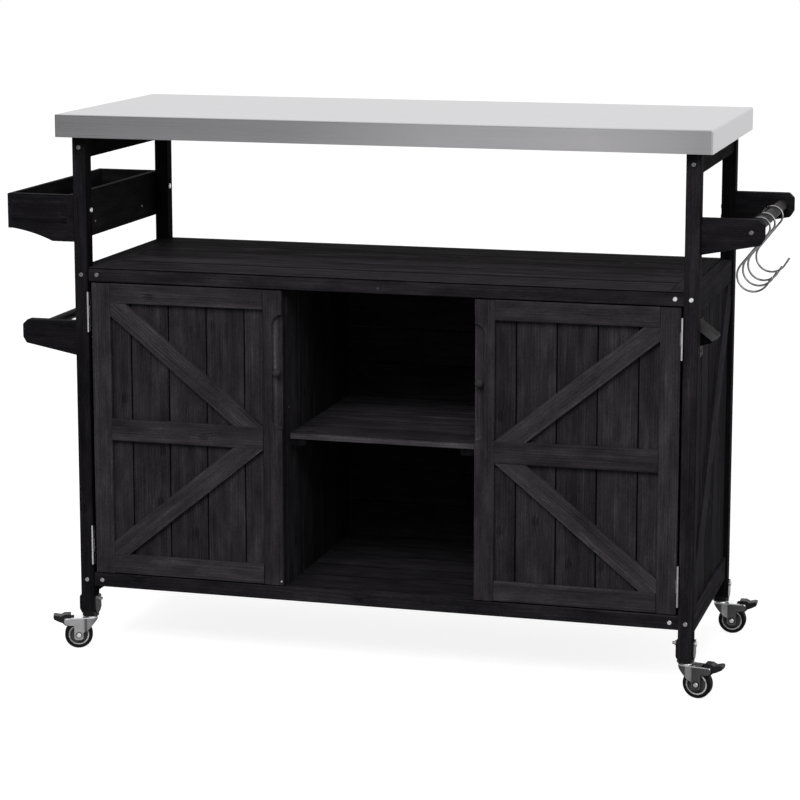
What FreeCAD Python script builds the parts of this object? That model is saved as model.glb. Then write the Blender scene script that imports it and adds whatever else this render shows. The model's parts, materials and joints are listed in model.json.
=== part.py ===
import FreeCAD, Part
import math
import os

# Grill cart with storage, all sizes in millimetres.
# X runs to the right, Y to the back, Z up, and the wheels stand on Z = 0.

V = FreeCAD.Vector

# Worktop
HEIGHT = 965.0          # floor to the top of the steel
TOP_WIDTH = 1150.0
TOP_DEPTH = 475.0
TOP_APRON = 40.0
TOP_SHEET = 1.2
TOP_BEND = 3.0          # outer radius of the folded edges
CORE_THICK = 15.0
CORE_GAP = 0.3          # round the core inside the apron

TOP_OVER_X = 22.0       # worktop past the posts at each end
TOP_OVER_Y = 23.5       # the same at the front and the back

# Posts
POST_X = 25.0
POST_Y = 27.0
EASE = 2.0              # rounded edge of the sawn timber
BOARD_EASE = 1.0        # the same on thin boards
SEAM = 0.6              # open joint between neighbouring boards
JOINT = 0.3             # hairline joint inside one frame

# Rails
SETBACK = 4.0           # rail face behind the post face
RAIL_THICK = 20.0
RAIL_HIGH = 25.0
END_RAIL_HIGH = 61.8    # end rails right under the worktop
LONG_RAIL_HIGH = 22.0   # long rails hidden by the apron

# Cabinet
DECK_TOP = 694.0
DECK_THICK = 18.0
DECK_BOARDS = 5
DECK_STRIP = 25.0       # width of the strip at each end of the deck
LEDGER_WIDE = 40.0
LEDGER_HIGH = 20.0
FLOOR_TOP = 141.0
FLOOR_THICK = 10.0
FLOOR_BOARDS = 5
BEARER_HIGH = 15.0
SIDE_RAIL_TOP_HIGH = 40.0
SIDE_RAIL_LOW_HIGH = 42.0
SIDE_RAIL_LOW = 102.0   # underside of the lower side rails
SIDE_BOARD_THICK = 10.0
SIDE_BOARDS = 5
SIDE_BRACE_THICK = 4.5  # also how far the boards lie behind the rail faces
SIDE_BRACE_WIDE = 55.0
GROOVE_DEEP = 10.0
GROOVE_GAP = 0.2
BACK_THICK = 10.0
BACK_BOARDS = 8
BACK_BATTEN = 25.0
BAY_WIDTH = 336.0
DIVIDER_THICK = 15.0
DIVIDER_BOARDS = 5
SHELF_TOP = 410.0
SHELF_THICK = 10.0
SHELF_FRONT = 12.0      # shelf edge behind the front edges of the dividers
SHELF_BOARDS = 5
CLEAT_WIDE = 28.0
CLEAT_HIGH = 12.0
FIT_GAP = 0.5           # boards slipped in between their neighbours

# Doors
DOOR_HINGE_GAP = 4.0
DOOR_OVERLAP = 4.0      # divider edge that stays bare beside a closed door
DOOR_GAP = 2.0          # above and below
DOOR_FRAME_THICK = 9.0
DOOR_BOARD_THICK = 10.0
DOOR_BOARD_INSET = 1.0
DOOR_BOARDS = 5
STILE_WIDE = 35.0
DOOR_RAIL_WIDE = 35.0
MID_RAIL_WIDE = 39.0
MID_RAIL_LOW = 385.0
BRACE_WIDE = 35.0
BRACE_THICK = 8.0
RECESS_LONG = 204.0
RECESS_WIDE = 17.5
RECESS_DEEP = 6.0
RECESS_COVE = 5.5       # rounding between the floor and the side of the recess
KNOB_R = 7.6
KNOB_NECK_R = 4.0
KNOB_NECK = 2.4
KNOB_UP = 118.0         # above the middle of the door

# Hinges
HINGE_LONG = 70.0
HINGE_INSET = 51.0      # hinge centre from the end of the door
BARREL_R = 2.6
BARREL_OUT = 3.0        # barrel centre in front of the post face
PIN_R = 1.3
PIN_FIT = 0.05
PIN_HEAD = 0.8
LEAF_THICK = 1.1
LEAF_DEEP = 20.0
KNUCKLE_GAP = 0.3
HINGE_SCREW_R = 1.2
HINGE_SCREW_HEAD_R = 2.4
HINGE_SCREW_LONG = 12.0
HINGE_SCREW_APART = 46.0

# Screws and bolts
SCREW_HEAD_R = 4.0
SCREW_HEAD_HIGH = 1.6
SCREW_R = 1.8
SCREW_BITE = 22.0       # length of screw in the second piece
SMALL_HEAD_R = 2.2
SMALL_R = 1.1
DRIVER_WIDE = 0.13      # half width of the cross recess, as a share of the head radius
DRIVER_DEEP = 0.22      # its depth, the same way
HOLE_FIT = 0.05
POST_SCREW_DOWN = 42.8  # top screw below the end of the post
BOLT_HEAD_R = 5.0
BOLT_HEAD_HIGH = 3.0
BOLT_R = 2.5
NUT_R = 4.5
NUT_HIGH = 3.5
BOLT_END = 4.0          # thread that stands out of the nut

# Spice rack
RACK_REACH = 124.0
RACK_DOWN = 127.3       # top of the rack below the end of the post
RACK_INNER_HIGH = 82.5
RACK_INNER_THICK = 12.0
RACK_OUTER_HIGH = 61.5
RACK_OUTER_THICK = 8.0
RACK_END_THICK = 12.0
RACK_FLOOR_THICK = 8.0
RACK_FLAT = 28.0        # flat foot of the shaped ends beside the inner board
RACK_SAG = 3.0          # bow of the shaped edge
RACK_BOLT_IN = 18.0     # bolt axis from the post's outer face along Y
RACK_BOLT_DOWN = 27.5   # bolt below the top of the rack
RACK_SCREW_APART = 230.0

# Brackets and rods
BRACKET_REACH = 104.0
BRACKET_HIGH = 61.0
BRACKET_THICK = 18.0
BRACKET_TIP = 32.0      # height of the tip below the top edge
BRACKET_CUT = 9.0       # cut corner at the top of the tip
BRACKET_HEEL = 42.5     # where the sloping lower edge starts
BRACKET_SETBACK = 8.0   # behind the post's face
BRACKET_ROUND = 4.0
HOOK_RAIL_DOWN = 131.8  # top of the hook brackets below the end of the post
HOOK_ROD_R = 10.0
HOOK_ROD_IN = 21.0      # rod axis from the end of the bracket
HOOK_ROD_DOWN = 21.0    # rod axis below the top of the bracket
TOWEL_BAR_DOWN = 98.0   # top of the towel brackets below the deck
TOWEL_ROD_R = 8.5
TOWEL_ROD_IN = 19.0
TOWEL_ROD_DOWN = 19.0
TOWEL_ROD_DEEP = 8.0    # depth of the blind holes that hold the ends of the towel rod
BRACKET_SCREW_UP = 12.0
BRACKET_SCREW_LOW = 46.0

# S-hooks
HOOK_WIRE_R = 1.75
HOOK_TOP_R = 17.0       # centre line of the upper bend
HOOK_LOW_R = 27.0       # centre line of the lower bend
HOOK_DROP = 71.0        # between the two bend centres
HOOK_LEG = 14.0
HOOK_GAP = 0.3          # between the hook and the top of the rod
HOOK_TIP = 15.0         # straight end of the lower bend
HOOK_TIP_LEAN = 32.0    # its angle from upright, in degrees
HOOK_SHARES = (-0.90, -0.53, -0.20, 0.35)   # places along the rod, as shares of its half length

# Bottle opener
OPENER_WIDE = 44.0
OPENER_HIGH = 66.0
OPENER_DOWN = 54.0      # top of the opener below the deck
OPENER_PLATE = 2.5
OPENER_FROM_POST = 22.0
OPENER_REACH = 30.0
OPENER_WALL = 2.0
OPENER_DROP = 23.0
OPENER_SIDE = 14.0      # height of the side cheeks
OPENER_RIM = 4.0

# Casters
WHEEL_R = 25.0
WHEEL_WIDE = 18.0
TYRE_THICK = 6.3
TYRE_ROUND = 3.0
HUB_RIM = 2.2
HUB_WEB = 5.0
HUB_BOSS_R = 6.5
TRAIL = 22.0            # axle behind the swivel axis
CASTER_HIGH = 66.0      # floor to the underside of the bracket
BRACKET_BASE = 3.0
EAR_THICK = 3.0
EAR_HIGH = 28.5
EAR_CHAMFER = 7.0
EAR_ROUND = 5.0
SEAT_R = 15.0           # black bearing seat under the bracket
SEAT_HIGH = 6.5
RACE_R = 11.0
RACE_HIGH = 2.2
SWIVEL_GAP = 0.3
KINGPIN_R = 4.0
KINGPIN_IN = 4.5
SHAFT_FIT = 0.05
FORK_THICK = 2.5
FORK_PLATE = 3.0
WHEEL_SIDE_GAP = 1.0
FORK_TOP_LONG = 30.0    # top plate of the fork behind the swivel axis
AXLE_R = 3.0
AXLE_HEAD_R = 4.3
AXLE_HEAD_HIGH = 2.2
PEDAL_OUT = 44.0        # pedal rivet behind the swivel axis
PEDAL_Z = 53.0
PEDAL_PIN_R = 2.5
PEDAL_HEAD_R = 3.6
PEDAL_HEAD_HIGH = 1.5
PEDAL_GAP = 0.5
PEDAL_CAM = 10.4        # lobe below the rivet that blocks the tyre
CASTER_BOLT_UP = 22.5   # cross bolt above the foot of the post
# Casters turned from pointing straight outwards, counterclockwise seen from above, in degrees
TURN_FRONT_LEFT = 22.0
TURN_FRONT_RIGHT = -8.0
TURN_BACK_LEFT = 0.0
TURN_BACK_RIGHT = 0.0

# Places worked out from the sizes above
POST_OUT_X = TOP_WIDTH / 2 - TOP_OVER_X
POST_OUT_Y = TOP_DEPTH / 2 - TOP_OVER_Y
POST_IN_X = POST_OUT_X - POST_X
POST_IN_Y = POST_OUT_Y - POST_Y
POST_MID_X = POST_OUT_X - POST_X / 2
POST_MID_Y = POST_OUT_Y - POST_Y / 2
POST_FOOT = CASTER_HIGH + BRACKET_BASE
POST_TOP = HEIGHT - TOP_SHEET - CORE_THICK
POST_SCREW_TOP = POST_TOP - POST_SCREW_DOWN
END_RAIL_LOW = POST_TOP - END_RAIL_HIGH
RACK_TOP = POST_TOP - RACK_DOWN
RACK_BOLT_Z = RACK_TOP - RACK_BOLT_DOWN
HOOK_RAIL_TOP = POST_TOP - HOOK_RAIL_DOWN
TOWEL_BAR_TOP = DECK_TOP - TOWEL_BAR_DOWN
OPENER_TOP = DECK_TOP - OPENER_DOWN
RAIL_FACE_X = POST_OUT_X - SETBACK
RAIL_BACK_X = RAIL_FACE_X - RAIL_THICK
RAIL_FACE_Y = POST_OUT_Y - SETBACK
RAIL_BACK_Y = RAIL_FACE_Y - RAIL_THICK
DECK_LOW = DECK_TOP - DECK_THICK
UPPER_RAIL_LOW = DECK_TOP - RAIL_HIGH
LOWER_RAIL_LOW = FLOOR_TOP - RAIL_HIGH
BOARD_SPAN = POST_IN_X - FIT_GAP
STRIP_IN = POST_IN_X - DECK_STRIP
LEDGER_IN = RAIL_BACK_X - LEDGER_WIDE
BACK_FACE = RAIL_BACK_Y - BACK_THICK
SIDE_RAIL_UP_LOW = DECK_TOP - SIDE_RAIL_TOP_HIGH
SIDE_RAIL_LOW_TOP = SIDE_RAIL_LOW + SIDE_RAIL_LOW_HIGH
SIDE_BOARD_OUT = RAIL_FACE_X - SIDE_BRACE_THICK
SIDE_BOARD_IN = SIDE_BOARD_OUT - SIDE_BOARD_THICK
BAY_HALF = BAY_WIDTH / 2
DIVIDER_OUT = BAY_HALF + DIVIDER_THICK
SHELF_LOW = SHELF_TOP - SHELF_THICK
DOOR_IN = BAY_HALF + DOOR_OVERLAP
DOOR_OUT = POST_IN_X - DOOR_HINGE_GAP
DOOR_LOW = FLOOR_TOP + DOOR_GAP
DOOR_TOP = UPPER_RAIL_LOW - DOOR_GAP
DOOR_FACE = -RAIL_FACE_Y
DOOR_BOARD_FACE = DOOR_FACE + DOOR_FRAME_THICK
DOOR_BACK = DOOR_BOARD_FACE + DOOR_BOARD_THICK
KNOB_Z = (DOOR_LOW + DOOR_TOP) / 2 + KNOB_UP
KNOB_X = DOOR_IN + RECESS_WIDE / 2
BARREL_X = DOOR_OUT + DOOR_HINGE_GAP * 0.75
BARREL_Y = -POST_OUT_Y - BARREL_OUT
BRACKET_OUT_Y = POST_OUT_Y - BRACKET_SETBACK
BRACKET_IN_Y = BRACKET_OUT_Y - BRACKET_THICK
HOOK_ROD_X = POST_OUT_X + BRACKET_REACH - HOOK_ROD_IN
HOOK_ROD_Z = HOOK_RAIL_TOP - HOOK_ROD_DOWN
TOWEL_ROD_X = -POST_OUT_X - BRACKET_REACH + TOWEL_ROD_IN
TOWEL_ROD_Z = TOWEL_BAR_TOP - TOWEL_ROD_DOWN
HOOK_Z = HOOK_ROD_Z + HOOK_ROD_R + HOOK_GAP + HOOK_WIRE_R - HOOK_TOP_R
SEAT_LOW = CASTER_HIGH - SEAT_HIGH
RACE_TOP = SEAT_LOW - SWIVEL_GAP
FORK_TOP = RACE_TOP - RACE_HIGH
FORK_IN = WHEEL_WIDE / 2 + WHEEL_SIDE_GAP
FORK_OUT = FORK_IN + FORK_THICK
CASTER_BOLT_Z = POST_FOOT + CASTER_BOLT_UP
OPENER_Y = -POST_IN_Y + OPENER_FROM_POST
CASTER_PLACES = ((-1, -1), (1, -1), (-1, 1), (1, 1))
CASTER_TURNS = (TURN_FRONT_LEFT, TURN_FRONT_RIGHT, TURN_BACK_LEFT, TURN_BACK_RIGHT)
HOOK_LEAN = math.radians(HOOK_TIP_LEAN)
HOOK_PLACES = [BRACKET_IN_Y * share for share in HOOK_SHARES]
HOOK_REACH = HOOK_LOW_R * math.cos(HOOK_LEAN) + HOOK_TIP * math.sin(HOOK_LEAN)
REACH_LEFT = POST_OUT_X + RACK_REACH
REACH_RIGHT = HOOK_ROD_X + HOOK_REACH + HOOK_WIRE_R * math.cos(HOOK_LEAN)
SHIFT = (REACH_LEFT - REACH_RIGHT) / 2   # brings the middle of the whole cart over X = 0


# Shapes that recur

def box(x0, x1, y0, y1, z0, z1):
    low = V(min(x0, x1), min(y0, y1), min(z0, z1))
    return Part.makeBox(abs(x1 - x0), abs(y1 - y0), abs(z1 - z0), low)


def timber(x0, x1, y0, y1, z0, z1, ease=EASE):
    """A board with its long edges rounded."""
    solid = box(x0, x1, y0, y1, z0, z1)
    sides = {"X": abs(x1 - x0), "Y": abs(y1 - y0), "Z": abs(z1 - z0)}
    axis = max(sides, key=sides.get)
    ways = {"X": V(1, 0, 0), "Y": V(0, 1, 0), "Z": V(0, 0, 1)}
    thin = min(sides.values())
    edges = [e for e in solid.Edges if e.tangentAt(e.FirstParameter).cross(ways[axis]).Length < 1e-6]
    return solid.makeFillet(min(ease, thin * 0.3), edges)


def rod(start, way, radius, length):
    return Part.makeCylinder(radius, length, start, way)


def plate(points, start, way):
    """A flat plate: the closed outline of points, pushed along way."""
    wire = Part.makePolygon(points + [points[0]])
    return Part.Face(wire).extrude(way).translated(start)


def mirror_x(shape):
    return shape.mirror(V(0, 0, 0), V(1, 0, 0))


def mirror_y(shape):
    return shape.mirror(V(0, 0, 0), V(0, 1, 0))


def both_x(shapes):
    return shapes + [mirror_x(s) for s in shapes]


def both_y(shapes):
    return shapes + [mirror_y(s) for s in shapes]


def split(low, high, count, gap=SEAM):
    """Edges of count equal boards between low and high, with an open joint between neighbours."""
    wide = (high - low - gap * (count - 1)) / count
    return [(low + i * (wide + gap), low + i * (wide + gap) + wide) for i in range(count)]


# Screws and bolts, each with the hole that it needs

def dome_head(start, way, radius, high):
    head = rod(start, way * -1, radius, high)
    rims = [e for e in head.Edges if (e.CenterOfMass - start).Length > high / 2 and len(e.Vertexes) == 1]
    return head.makeFillet(high * 0.6, rims)


def screw(start, way, length, head_r=SCREW_HEAD_R, shank_r=SCREW_R, head_high=SCREW_HEAD_HIGH):
    """A dome headed screw whose head rests on the surface at start."""
    dome = dome_head(start, way, head_r, head_high)
    side = way.cross(V(1, 1, 1))
    side = side * (1 / side.Length)
    for arm in (side, way.cross(side)):
        dome = dome.cut(driver_slot(start - way * head_high, way, arm, head_r))
    return dome.fuse(rod(start, way, shank_r, length)).removeSplitter()


def driver_slot(top, way, arm, head_r):
    """One arm of the cross recess, cut down from the top of the head."""
    long = arm * (head_r * 0.6)
    half = way.cross(arm) * (head_r * DRIVER_WIDE)
    ring = [top - long - half, top + long - half, top + long + half, top - long + half]
    return plate(ring, way * -1, way * (1 + head_r * DRIVER_DEEP))


def hole(start, way, length, shank_r=SCREW_R):
    return rod(start, way, shank_r + HOLE_FIT, length + HOLE_FIT)


def wood_screw_list():
    """Start, direction, length, head radius and shank radius of every wood screw."""
    found = []
    post_length = POST_Y + SCREW_BITE
    rail_length = RAIL_THICK + SCREW_BITE
    post_z = (POST_SCREW_TOP, (UPPER_RAIL_LOW + DECK_TOP) / 2, (LOWER_RAIL_LOW + FLOOR_TOP) / 2)
    strip_mid = POST_IN_X - DECK_STRIP * 0.6
    for sx in (-1, 1):
        for sy in (-1, 1):
            inward = V(0, -sy, 0)
            for z in post_z:
                start = V(sx * POST_MID_X, sy * POST_OUT_Y, z)
                found.append((start, inward, post_length, SCREW_HEAD_R, SCREW_R))
            for z in post_z[1:]:
                start = V(sx * strip_mid, sy * RAIL_FACE_Y, z)
                found.append((start, inward, rail_length, SCREW_HEAD_R, SCREW_R))
    rod_length = BRACKET_THICK + SCREW_BITE
    for sy in (-1, 1):
        start = V(HOOK_ROD_X, sy * BRACKET_OUT_Y, HOOK_ROD_Z)
        found.append((start, V(0, -sy, 0), rod_length, SCREW_HEAD_R, SCREW_R))
    bracket_y = (BRACKET_OUT_Y + BRACKET_IN_Y) / 2
    for sx, top in ((1, HOOK_RAIL_TOP), (-1, TOWEL_BAR_TOP)):
        for down in (BRACKET_SCREW_UP + SCREW_HEAD_R * 4, BRACKET_SCREW_LOW):
            for sy in (-1, 1):
                start = V(sx * POST_IN_X, sy * bracket_y, top - down)
                found.append((start, V(sx, 0, 0), POST_X + SCREW_BITE, SCREW_HEAD_R, SCREW_R))
    for sy in (-1, 1):
        start = V(-POST_OUT_X, sy * RACK_SCREW_APART / 2, RACK_TOP - RACK_OUTER_HIGH + RACK_FLOOR_THICK / 2)
        found.append((start, V(-1, 0, 0), RACK_INNER_THICK + SCREW_BITE / 2, SMALL_HEAD_R, SMALL_R))
    opener_z = OPENER_TOP - OPENER_HIGH * 0.88
    for share in (0.3, 0.7):
        start = V(SIDE_BOARD_OUT + OPENER_PLATE, OPENER_Y + OPENER_WIDE * share, opener_z)
        found.append((start, V(-1, 0, 0), OPENER_PLATE + SIDE_BOARD_THICK * 0.8, SMALL_HEAD_R, SMALL_R))
    return found


WOOD_SCREWS = wood_screw_list()


def bolt(start, way, grip):
    """A bolt with its head at start, and the nut beyond the grip; two solids."""
    body = rod(start, way, BOLT_R, grip + NUT_HIGH + BOLT_END)
    head = dome_head(start, way, BOLT_HEAD_R, BOLT_HEAD_HIGH)
    nut = hex_prism(start + way * grip, way, NUT_R, NUT_HIGH)
    nut = nut.cut(rod(start + way * (grip - 1), way, BOLT_R + HOLE_FIT, NUT_HIGH + 2))
    return [body.fuse(head).removeSplitter(), nut]


def hex_prism(start, way, radius, high):
    side = way.cross(V(0, 0, 1)) if abs(way.z) < 0.5 else way.cross(V(1, 0, 0))
    up = way.cross(side)
    turns = [math.radians(60 * i) for i in range(6)]
    points = [start + side * (radius * math.cos(t)) + up * (radius * math.sin(t)) for t in turns]
    return plate(points, V(0, 0, 0), way * high)


def rack_bolt_list():
    y = POST_OUT_Y - RACK_BOLT_IN
    grip = POST_X + RACK_INNER_THICK
    return [(V(-POST_IN_X, sy * y, RACK_BOLT_Z), V(-1, 0, 0), grip) for sy in (-1, 1)]


def caster_bolt_list():
    grip = POST_X + 2 * EAR_THICK
    out = POST_OUT_X + EAR_THICK
    return [(V(sx * out, sy * POST_MID_Y, CASTER_BOLT_Z), V(-sx, 0, 0), grip)
            for sx, sy in CASTER_PLACES]


def hinge_screw(start, way):
    """A countersunk screw that lies flush in a leaf."""
    head = Part.makeCone(HINGE_SCREW_HEAD_R, HINGE_SCREW_R, LEAF_THICK, start, way)
    return head.fuse(rod(start, way, HINGE_SCREW_R, HINGE_SCREW_LONG)).removeSplitter()


def hinge_screw_hole(start, way):
    head = Part.makeCone(HINGE_SCREW_HEAD_R + HOLE_FIT, HINGE_SCREW_R + HOLE_FIT, LEAF_THICK, start, way)
    return head.fuse(hole(start, way, HINGE_SCREW_LONG, HINGE_SCREW_R))


def hinge_heights():
    return (DOOR_LOW + HINGE_INSET, DOOR_TOP - HINGE_INSET)


def hinge_screw_places(fixed):
    """Start and direction of the screws of the left hand leaves."""
    y = -POST_OUT_Y + LEAF_DEEP * 0.6
    x = -POST_IN_X + LEAF_THICK if fixed else -DOOR_OUT - LEAF_THICK
    way = V(-1, 0, 0) if fixed else V(1, 0, 0)
    return [(V(x, y, z + side * HINGE_SCREW_APART / 2), way) for z in hinge_heights() for side in (-1, 1)]


def all_holes():
    holes = [hole(s, w, length, r) for s, w, length, _, r in WOOD_SCREWS]
    holes += [hole(s, w, grip, BOLT_R) for s, w, grip in rack_bolt_list() + caster_bolt_list()]
    left = [hinge_screw_hole(s, w) for fixed in (True, False) for s, w in hinge_screw_places(fixed)]
    return holes + both_x(left)


HOLES = all_holes()


def drill(shape):
    for tool in HOLES:
        if shape.BoundBox.intersect(tool.BoundBox):
            shape = shape.cut(tool)
    return shape


# Frame

def post(sx, sy):
    return [timber(sx * POST_IN_X, sx * POST_OUT_X, sy * POST_IN_Y, sy * POST_OUT_Y, POST_FOOT, POST_TOP)]


def worktop_pan():
    low = HEIGHT - TOP_APRON
    outer = box(-TOP_WIDTH / 2, TOP_WIDTH / 2, -TOP_DEPTH / 2, TOP_DEPTH / 2, low, HEIGHT)
    outer = outer.makeFillet(TOP_BEND, [e for e in outer.Edges if e.CenterOfMass.z > low + 1e-6])
    half_x = TOP_WIDTH / 2 - TOP_SHEET
    half_y = TOP_DEPTH / 2 - TOP_SHEET
    inner = box(-half_x, half_x, -half_y, half_y, low, HEIGHT - TOP_SHEET)
    inner_bend = max(TOP_BEND - TOP_SHEET, 0.2)
    inner = inner.makeFillet(inner_bend, [e for e in inner.Edges if e.CenterOfMass.z > low + 1e-6])
    return [outer.cut(inner)]


def worktop_core():
    half_x = TOP_WIDTH / 2 - TOP_SHEET - CORE_GAP
    half_y = TOP_DEPTH / 2 - TOP_SHEET - CORE_GAP
    core = box(-half_x, half_x, -half_y, half_y, POST_TOP, HEIGHT - TOP_SHEET)
    upper = [e for e in core.Edges if e.CenterOfMass.z > HEIGHT - TOP_SHEET - 1e-6]
    return [core.makeChamfer(TOP_BEND, upper)]


def worktop_rails():
    ends = timber(RAIL_BACK_X, RAIL_FACE_X, -POST_IN_Y, POST_IN_Y, END_RAIL_LOW, POST_TOP)
    longs = timber(-POST_IN_X, POST_IN_X, RAIL_BACK_Y, RAIL_FACE_Y, POST_TOP - LONG_RAIL_HIGH, POST_TOP)
    return both_x([ends]) + both_y([longs])


def cabinet_long_rails(sy):
    upper = timber(-POST_IN_X, POST_IN_X, sy * RAIL_BACK_Y, sy * RAIL_FACE_Y, UPPER_RAIL_LOW, DECK_TOP)
    lower = timber(-POST_IN_X, POST_IN_X, sy * RAIL_BACK_Y, sy * RAIL_FACE_Y, LOWER_RAIL_LOW, FLOOR_TOP)
    return [upper, lower]


def side_rails():
    upper = timber(RAIL_BACK_X, RAIL_FACE_X, -POST_IN_Y, POST_IN_Y, SIDE_RAIL_UP_LOW, DECK_TOP)
    lower = timber(RAIL_BACK_X, RAIL_FACE_X, -POST_IN_Y, POST_IN_Y, SIDE_RAIL_LOW, SIDE_RAIL_LOW_TOP)
    low_groove = SIDE_RAIL_LOW_TOP - GROOVE_DEEP - GROOVE_GAP
    high_groove = SIDE_RAIL_UP_LOW + GROOVE_DEEP + GROOVE_GAP
    groove = box(SIDE_BOARD_IN - GROOVE_GAP, SIDE_BOARD_OUT + GROOVE_GAP, -POST_IN_Y, POST_IN_Y,
                 low_groove, high_groove)
    return both_x([upper.cut(groove), lower.cut(groove)])


def side_boards():
    low = SIDE_RAIL_LOW_TOP - GROOVE_DEEP
    high = SIDE_RAIL_UP_LOW + GROOVE_DEEP
    span = POST_IN_Y - FIT_GAP
    boards = [timber(SIDE_BOARD_IN, SIDE_BOARD_OUT, a, b, low, high, BOARD_EASE)
              for a, b in split(-span, span, SIDE_BOARDS)]
    return both_x(boards)


def brace(corner_a, corner_b, wide, thick_from, thick_to, window, plane):
    """A diagonal board between two corners, trimmed to the window that it fills."""
    run = corner_b - corner_a
    middle = (corner_a + corner_b) * 0.5
    along = run * (1 / run.Length)
    out = V(1, 0, 0) if plane == "X" else V(0, 1, 0)
    across = along.cross(out)
    half = run.Length
    corners = ((-1, -1), (1, -1), (1, 1), (-1, 1))
    ring = [middle + along * (s * half) + across * (t * wide / 2) for s, t in corners]
    slab = plate(ring, out * thick_from, out * (thick_to - thick_from))
    return slab.common(window)


def side_braces():
    low = SIDE_RAIL_LOW_TOP
    high = SIDE_RAIL_UP_LOW
    window = box(SIDE_BOARD_OUT, RAIL_FACE_X, -POST_IN_Y, POST_IN_Y, low, high)
    right = brace(V(0, -POST_IN_Y, low), V(0, POST_IN_Y, high), SIDE_BRACE_WIDE,
                  SIDE_BOARD_OUT, RAIL_FACE_X, window, "X")
    return both_x([right])


# Cabinet

def deck_boards():
    half = STRIP_IN - SEAM
    return [timber(-half, half, a, b, DECK_LOW, DECK_TOP, BOARD_EASE)
            for a, b in split(-RAIL_BACK_Y, RAIL_BACK_Y, DECK_BOARDS)]


def deck_end_strips():
    return both_x([timber(STRIP_IN, POST_IN_X, -RAIL_BACK_Y, RAIL_BACK_Y, DECK_LOW, DECK_TOP, BOARD_EASE)])


def cabinet_battens():
    low = DECK_LOW - LEDGER_HIGH
    ledger = timber(LEDGER_IN, RAIL_BACK_X, -POST_IN_Y, BACK_FACE, low, DECK_LOW, BOARD_EASE)
    top = FLOOR_TOP - FLOOR_THICK
    low = top - BEARER_HIGH
    y = RAIL_BACK_Y
    bearer = timber(STRIP_IN, POST_IN_X, -y, y, low, top, BOARD_EASE)
    middle = timber(BAY_HALF, BAY_HALF + DECK_STRIP, -y, y, low, top, BOARD_EASE)
    return both_x([ledger, bearer, middle])


def floor_boards():
    low = FLOOR_TOP - FLOOR_THICK
    return [timber(-BOARD_SPAN, BOARD_SPAN, a, b, low, FLOOR_TOP, BOARD_EASE)
            for a, b in split(-RAIL_BACK_Y, RAIL_BACK_Y, FLOOR_BOARDS)]


def back_boards():
    return [timber(-BOARD_SPAN, BOARD_SPAN, BACK_FACE, RAIL_BACK_Y, a, b, BOARD_EASE)
            for a, b in split(FLOOR_TOP, DECK_LOW, BACK_BOARDS)]


def back_battens():
    top = DECK_LOW - LEDGER_HIGH
    x = POST_IN_X - BACK_BATTEN
    y = BACK_FACE - BACK_BATTEN
    corner = timber(x, POST_IN_X, y, BACK_FACE, FLOOR_TOP, top, BOARD_EASE)
    return both_x([corner])


def dividers():
    boards = [timber(BAY_HALF, DIVIDER_OUT, a, b, FLOOR_TOP, DECK_LOW, BOARD_EASE)
              for a, b in split(-RAIL_BACK_Y, BACK_FACE, DIVIDER_BOARDS)]
    return both_x(boards)


def shelf_boards():
    half = BAY_HALF - FIT_GAP
    front = -RAIL_BACK_Y + SHELF_FRONT
    return [timber(-half, half, a, b, SHELF_LOW, SHELF_TOP, BOARD_EASE)
            for a, b in split(front, BACK_FACE - FIT_GAP, SHELF_BOARDS)]


def shelf_cleats():
    front = -RAIL_BACK_Y + SHELF_FRONT + SHELF_THICK / 4
    low = SHELF_LOW - CLEAT_HIGH
    cleat = timber(BAY_HALF - CLEAT_WIDE, BAY_HALF, front, BACK_FACE, low, SHELF_LOW, BOARD_EASE)
    return both_x([cleat])


# Doors, drawn on the left and mirrored for the right

def door_frame():
    y0, y1 = DOOR_FACE, DOOR_BOARD_FACE
    hinge_stile = timber(-DOOR_OUT, -DOOR_OUT + STILE_WIDE, y0, y1, DOOR_LOW, DOOR_TOP)
    handle_stile = timber(-DOOR_IN - STILE_WIDE, -DOOR_IN, y0, y1, DOOR_LOW, DOOR_TOP).cut(finger_recess())
    left = -DOOR_OUT + STILE_WIDE + JOINT
    right = -DOOR_IN - STILE_WIDE - JOINT
    spans = ((DOOR_LOW, DOOR_LOW + DOOR_RAIL_WIDE), (MID_RAIL_LOW, MID_RAIL_LOW + MID_RAIL_WIDE),
             (DOOR_TOP - DOOR_RAIL_WIDE, DOOR_TOP))
    return [hinge_stile, handle_stile] + [timber(left, right, y0, y1, a, b) for a, b in spans]


def finger_recess():
    """The routed hollow at the free edge of the handle stile: straight, with round ends."""
    inner = -DOOR_IN - RECESS_WIDE
    low = KNOB_Z - RECESS_LONG / 2
    high = KNOB_Z + RECESS_LONG / 2
    y0 = DOOR_FACE - 1
    y1 = DOOR_FACE + RECESS_DEEP
    straight = box(inner, -DOOR_IN + 1, y0, y1, low + RECESS_WIDE, high - RECESS_WIDE)
    ends = [rod(V(-DOOR_IN, y0, z), V(0, 1, 0), RECESS_WIDE, y1 - y0)
            for z in (low + RECESS_WIDE, high - RECESS_WIDE)]
    cutter = straight.fuse(ends[0]).fuse(ends[1]).removeSplitter()
    floor = [e for e in cutter.Edges if e.CenterOfMass.y > y1 - 1e-6 and e.CenterOfMass.x < -DOOR_IN]
    return cutter.makeFillet(RECESS_COVE, floor)


def door_boards():
    left = -DOOR_OUT + DOOR_BOARD_INSET
    right = -DOOR_IN - DOOR_BOARD_INSET
    low = DOOR_LOW + DOOR_BOARD_INSET
    high = DOOR_TOP - DOOR_BOARD_INSET
    return [timber(a, b, DOOR_BOARD_FACE, DOOR_BACK, low, high, BOARD_EASE)
            for a, b in split(left, right, DOOR_BOARDS)]


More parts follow.
